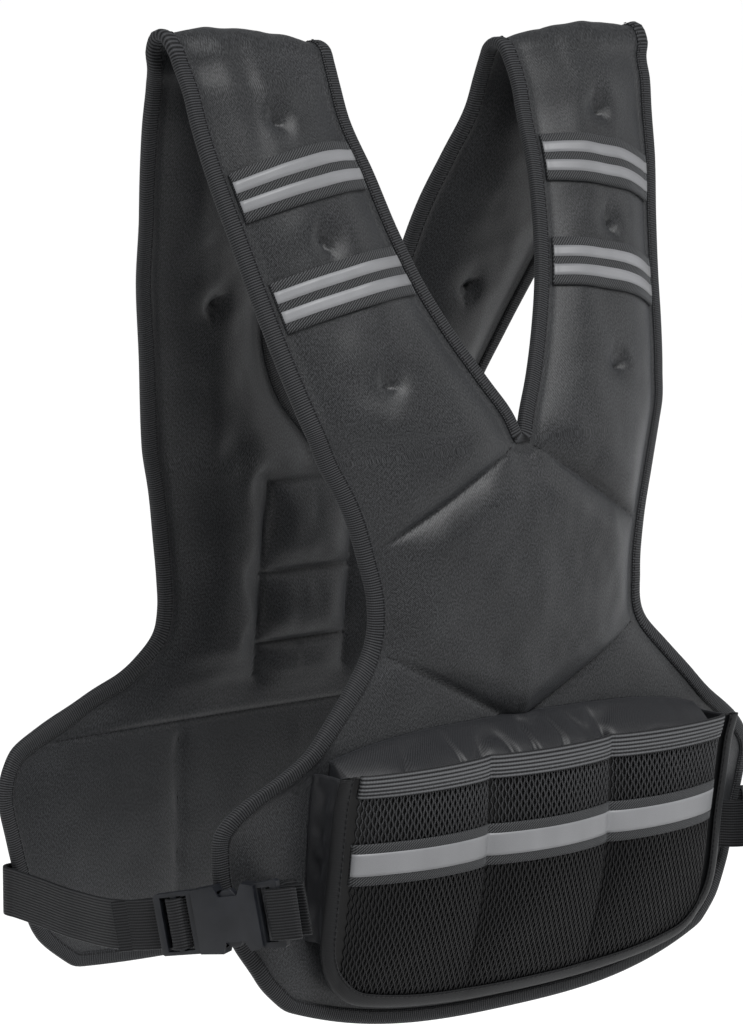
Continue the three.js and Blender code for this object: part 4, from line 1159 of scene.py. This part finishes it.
def gussets():
    for side, sign in SIDES:
        rows, cols = 70, 16
        x0 = POCKET_HALF_WIDTH - GUSSET_THICKNESS
        foot = float(pocket_foot_v(x0)) - TAPE_WIDTH
        v = np.linspace(POCKET_MOUTH_V + 1, foot, rows)[:, None].repeat(cols, 1)
        low = half_pad(v, x0) + 0.4
        high = np.maximum(low + 1, pocket_height(v, x0) - 1.6)
        t = np.linspace(0, 1, cols)[None]
        n = lerp(low, high, t)
        arch = np.sin(np.pi * t)
        crush = value_noise(v, n * 1.5, 9, 61) * 1.2 + value_noise(v, n, 4.5, 62) * 0.5
        middle = x0 + crush * arch**0.5 - 1.6 * arch
        outer, inner = (place(v, sign * (middle + lift), n) for lift in (0.7, -0.7))
        flat = np.stack([n, v], -1)
        gusset = skin(f"gusset_{side}", outer, inner, flat, NYLON)
        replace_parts(gusset, f"pocket_gusset_{side}")
        declare_sheet(outer)


# Belts and buckles
BUCKLE_ROUNDING = {
    "WELD": {"merge_threshold": 1e-5},
    "DECIMATE": {"decimate_type": "DISSOLVE", "angle_limit": math.radians(1)},
    "BEVEL": {
        "width": 0.0009, "segments": 3, "limit_method": "ANGLE", "angle_limit": math.radians(35),
    },
}
FRONT_BELT_V = v_at_drop(1, BELT_DROP)
BACK_BELT_V = v_at_drop(-1, BACK_BELT_DROP)
BELT_V = {1: FRONT_BELT_V, -1: BACK_BELT_V}
WEB_OFF = WEBBING_THICKNESS / 2 + CLEARANCE
FRONT_ROOT = POCKET_HALF_WIDTH + GUSSET_THICKNESS + WEB_OFF + 2
BEND = math.radians(BUCKLE_BEND_DEG)
TILT = math.radians(BUCKLE_TILT_DEG)
FORWARD = np.array([-math.sin(BEND), -math.cos(BEND), 0])
UP = np.array([0, 0, 1])
ALONG = FORWARD * math.cos(TILT) + UP * math.sin(TILT)
BELT_UP = UP * math.cos(TILT) - FORWARD * math.sin(TILT)
OUTWARD = np.array([math.cos(BEND), -math.sin(BEND), 0])
BUCKLE_AT = np.array(
    [
        max(float(arm_at(FRONT_BELT_V)) + WING_TO_BUCKLE, FRONT_ROOT + FRONT_BELT_RUN),
        float(TRACK["y"](FRONT_BELT_V) + TRACK["bow"](FRONT_BELT_V)) - BUCKLE_AHEAD_OF_WING,
        float(TRACK["z"](FRONT_BELT_V)),
    ]
)


def on_belt(x, n):
    """A point of a belt's middle line and the way that its upper edge lies."""
    return (*(BUCKLE_AT + ALONG * x + OUTWARD * n), *BELT_UP)


def panel_point(side, x, n):
    x, y, _ = place(BELT_V[side], x, n)
    return (x, y, float(TRACK["z"](BELT_V[side])), *UP)


def sewn_height(side, x):
    v = BELT_V[side] + np.array([-0.5, 0, 0.5]) * WEBBING_WIDTH
    return float(half_pad(v, float(x)).max()) + WEBBING_THICKNESS / 2 + SEWN_GAP


def front_belt_line():
    start, end = FEMALE_BAR
    loop = [
        (end + 12, -3.6), (start + 1, -3.6), (start - 1.6, -2.8), (start - 2.5, 0),
        (start - 1.6, 2.8), (start + 1, 3.6), (end + 8, 4),
    ]
    seat = sewn_height(1, FRONT_ROOT)
    sewn = [(17, seat + 10), (11, seat + 2.5), (7, seat), (0, seat)]
    panel = [panel_point(1, FRONT_ROOT + x, n) for x, n in sewn]
    return np.array([on_belt(*p) for p in loop] + panel)


def back_belt_line():
    thread = [
        (-BELT_TAIL, -6.6), (-40, -6.4), (-21, -6.3), (-19.2, -4.5), (-18.8, 0), (-20, 3),
        (-21.5, 3.8), (-24.5, 3.8), (-26, 3), (-27.2, 0), (-28.6, -3.4), (-31.5, -3.8), (-40, -3.8),
    ]
    wing = float(arm_at(BACK_BELT_V))
    tip_v = WEBBING_WIDTH / 2 + BACK_BELT_V
    tip = place(tip_v, arm_at(tip_v), 0)
    z = float(TRACK["z"](BACK_BELT_V))
    clear = BINDING_TOP + WEB_OFF
    around = [
        (clear + 3, -BELT_TAIL), (clear + 1, -30), (clear, -6), (clear, 2),
        (clear * 0.7, clear * 0.7 + 1),
    ]
    flat = [
        (wing - TAPE_WIDTH * 0.6, clear),
        (wing - TAPE_WIDTH - 6, clear),
        (wing - 26, sewn_height(-1, wing - 26) + SEWN_GAP),
        (wing - BACK_SEAM_IN, sewn_height(-1, wing - BACK_SEAM_IN)),
    ]
    turn = [(tip[0] + x, tip[1] + y, z, *UP) for x, y in around]
    return np.array([on_belt(*p) for p in thread] + turn + [panel_point(-1, *p) for p in flat])


def webbing(name, line, sign, node):
    run = run_along(line[:, :3])
    at = np.linspace(0, run[-1], max(20, int(run[-1] / 1.2)))
    path = np.stack([Curve(run, line[:, k])(at) for k in range(3)], -1)
    up = unit(np.stack([np.interp(at, run, line[:, k]) for k in range(3, 6)], -1))
    normal = unit(np.cross(up, np.gradient(path, axis=0)))
    half, thick = WEBBING_WIDTH / 2, WEBBING_THICKNESS / 2
    z = np.concatenate(
        [[-half, -half + 0.25], np.linspace(-half + 0.9, half - 0.9, 9), [half - 0.25, half]]
    )
    t = np.concatenate([[0.25, 0.8], np.ones(9), [0.8, 0.25]]) * thick
    ring_z = np.concatenate([z, z[::-1]])[None, :, None]
    ring_t = np.concatenate([t, -t])[None, :, None]
    points = (path[:, None] + normal[:, None] * ring_t + up[:, None] * ring_z) * [sign, 1, 1]
    girth = np.append(np.concatenate([z, 2 * half + z[::-1]]), 4 * half)
    uv = np.stack(np.broadcast_arrays(at[:, None], girth[None]), -1)
    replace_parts(loft(name, points, uv, WEBBING), node)


def belts():
    for side, sign in SIDES:
        webbing(f"front_belt_{side}", front_belt_line(), sign, f"front_webbing_{side}")
        webbing(f"back_belt_{side}", back_belt_line(), sign, f"back_webbing_{side}")


def buckles():
    for name in ("female_buckle", "male_buckle"):
        for side in ("left", "right"):
            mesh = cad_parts[f"{name}_{side}"].data.copy()
            obj = linked(f"{name}_{side}_moulded", mesh)
            bpy.context.view_layer.objects.active = obj
            for kind, settings in BUCKLE_ROUNDING.items():
                modifier = obj.modifiers.new(kind, kind)
                for key, value in settings.items():
                    setattr(modifier, key, value)
                bpy.ops.object.modifier_apply(modifier=kind)
            dress(obj, PLASTIC)
            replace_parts(obj, f"{name}_{side}")


# Seam stitching on the padding
def quilting_stitches():
    """A dashed line in each quilting seam, on the outer and the inner face."""
    rows = []
    for a, b in SEAMS:
        length = math.hypot(b[0] - a[0], b[1] - a[1])
        t = np.arange(3, length - 3, STITCH_PITCH) / length
        for sign in (1, -1):
            v, x = lerp(a[0], b[0], t), sign * lerp(a[1], b[1], t)
            keep = edge_distance(v, np.abs(x)) > TAPE_WIDTH
            v, x = v[keep], x[keep]
            for face in (1, -1):
                n = face * half_pad(v, x, face)
                here, above = place(v, x, n + face * 0.1), place(v, x, n + face)
                rows.append((here, np.gradient(here, axis=0), above))
    stitches("quilting_stitches", rows, 2.3, 0.36, THREAD)


# Stage, light and camera
def stage():
    corners = [(x * FLOOR_HALF, y * FLOOR_HALF, FLOOR_Z) for x, y in FLOOR_CORNERS]
    mesh = bpy.data.meshes.new("floor")
    mesh.from_pydata(corners, [], [(0, 1, 2, 3)])
    floor = linked("floor", mesh)
    n = Nodes("floor", uv=False)
    n.fill(n.shader, {"Base Color": (0.9, 0.9, 0.9, 1), "Roughness": 0.9})
    mesh.materials.append(n.material)
    world = bpy.data.worlds.new("studio")
    bpy.context.scene.world = world
    world.use_nodes = True
    background = world.node_tree.nodes["Background"]
    background.inputs[0].default_value = (1, 1, 1, 1)
    background.inputs[1].default_value = 0.24
    bpy.context.scene.view_settings.view_transform = "Standard"


def aimed(name, data, location, target):
    """A light or camera at a place, turned to a target."""
    obj = linked(name, data)
    obj.location = Vector(location)
    direction = Vector(target) - Vector(location)
    obj.rotation_euler = direction.to_track_quat("-Z", "Y").to_euler()
    return obj


def area_light(name, location, target, size, energy):
    data = bpy.data.lights.new(name, "AREA")
    data.shape = "RECTANGLE"
    data.size, data.size_y = size
    data.energy = energy
    aimed(name, data, location, target)


def lights():
    data = bpy.data.lights.new("sun", "SUN")
    data.energy = 3.5
    data.angle = math.radians(38)
    aimed("sun", data, (-0.25, -1.25, 2.0), (0, 0, 0))
    area_light("key", (-0.6, -1.5, 1.5), (0, 0, -0.2), (0.9, 0.9), 16)
    area_light("rim_left", (-2.0, 0.5, 0.7), (0, 0, -0.2), (0.7, 1.6), 14)
    area_light("fill_right", (1.9, -1.0, 0.4), (0, 0, -0.25), (1.0, 1.6), 9)


def camera():
    data = bpy.data.cameras.new("camera")
    data.lens = 140.6
    data.sensor_width = 36
    data.clip_start, data.clip_end = 0.05, 600
    view = aimed("camera", data, (-1.3243, -1.5491, 0.0505), (0.0888, 0.135, -0.2585))
    bpy.context.scene.camera = view


camera()
lights()
stage()
padded_shell()
quilting_stitches()
bindings()
keepers()
pocket_lining()
pocket_wall()
pocket_net()
elastic_hem()
reflective_band()
pocket_tape()
gussets()
belts()
buckles()
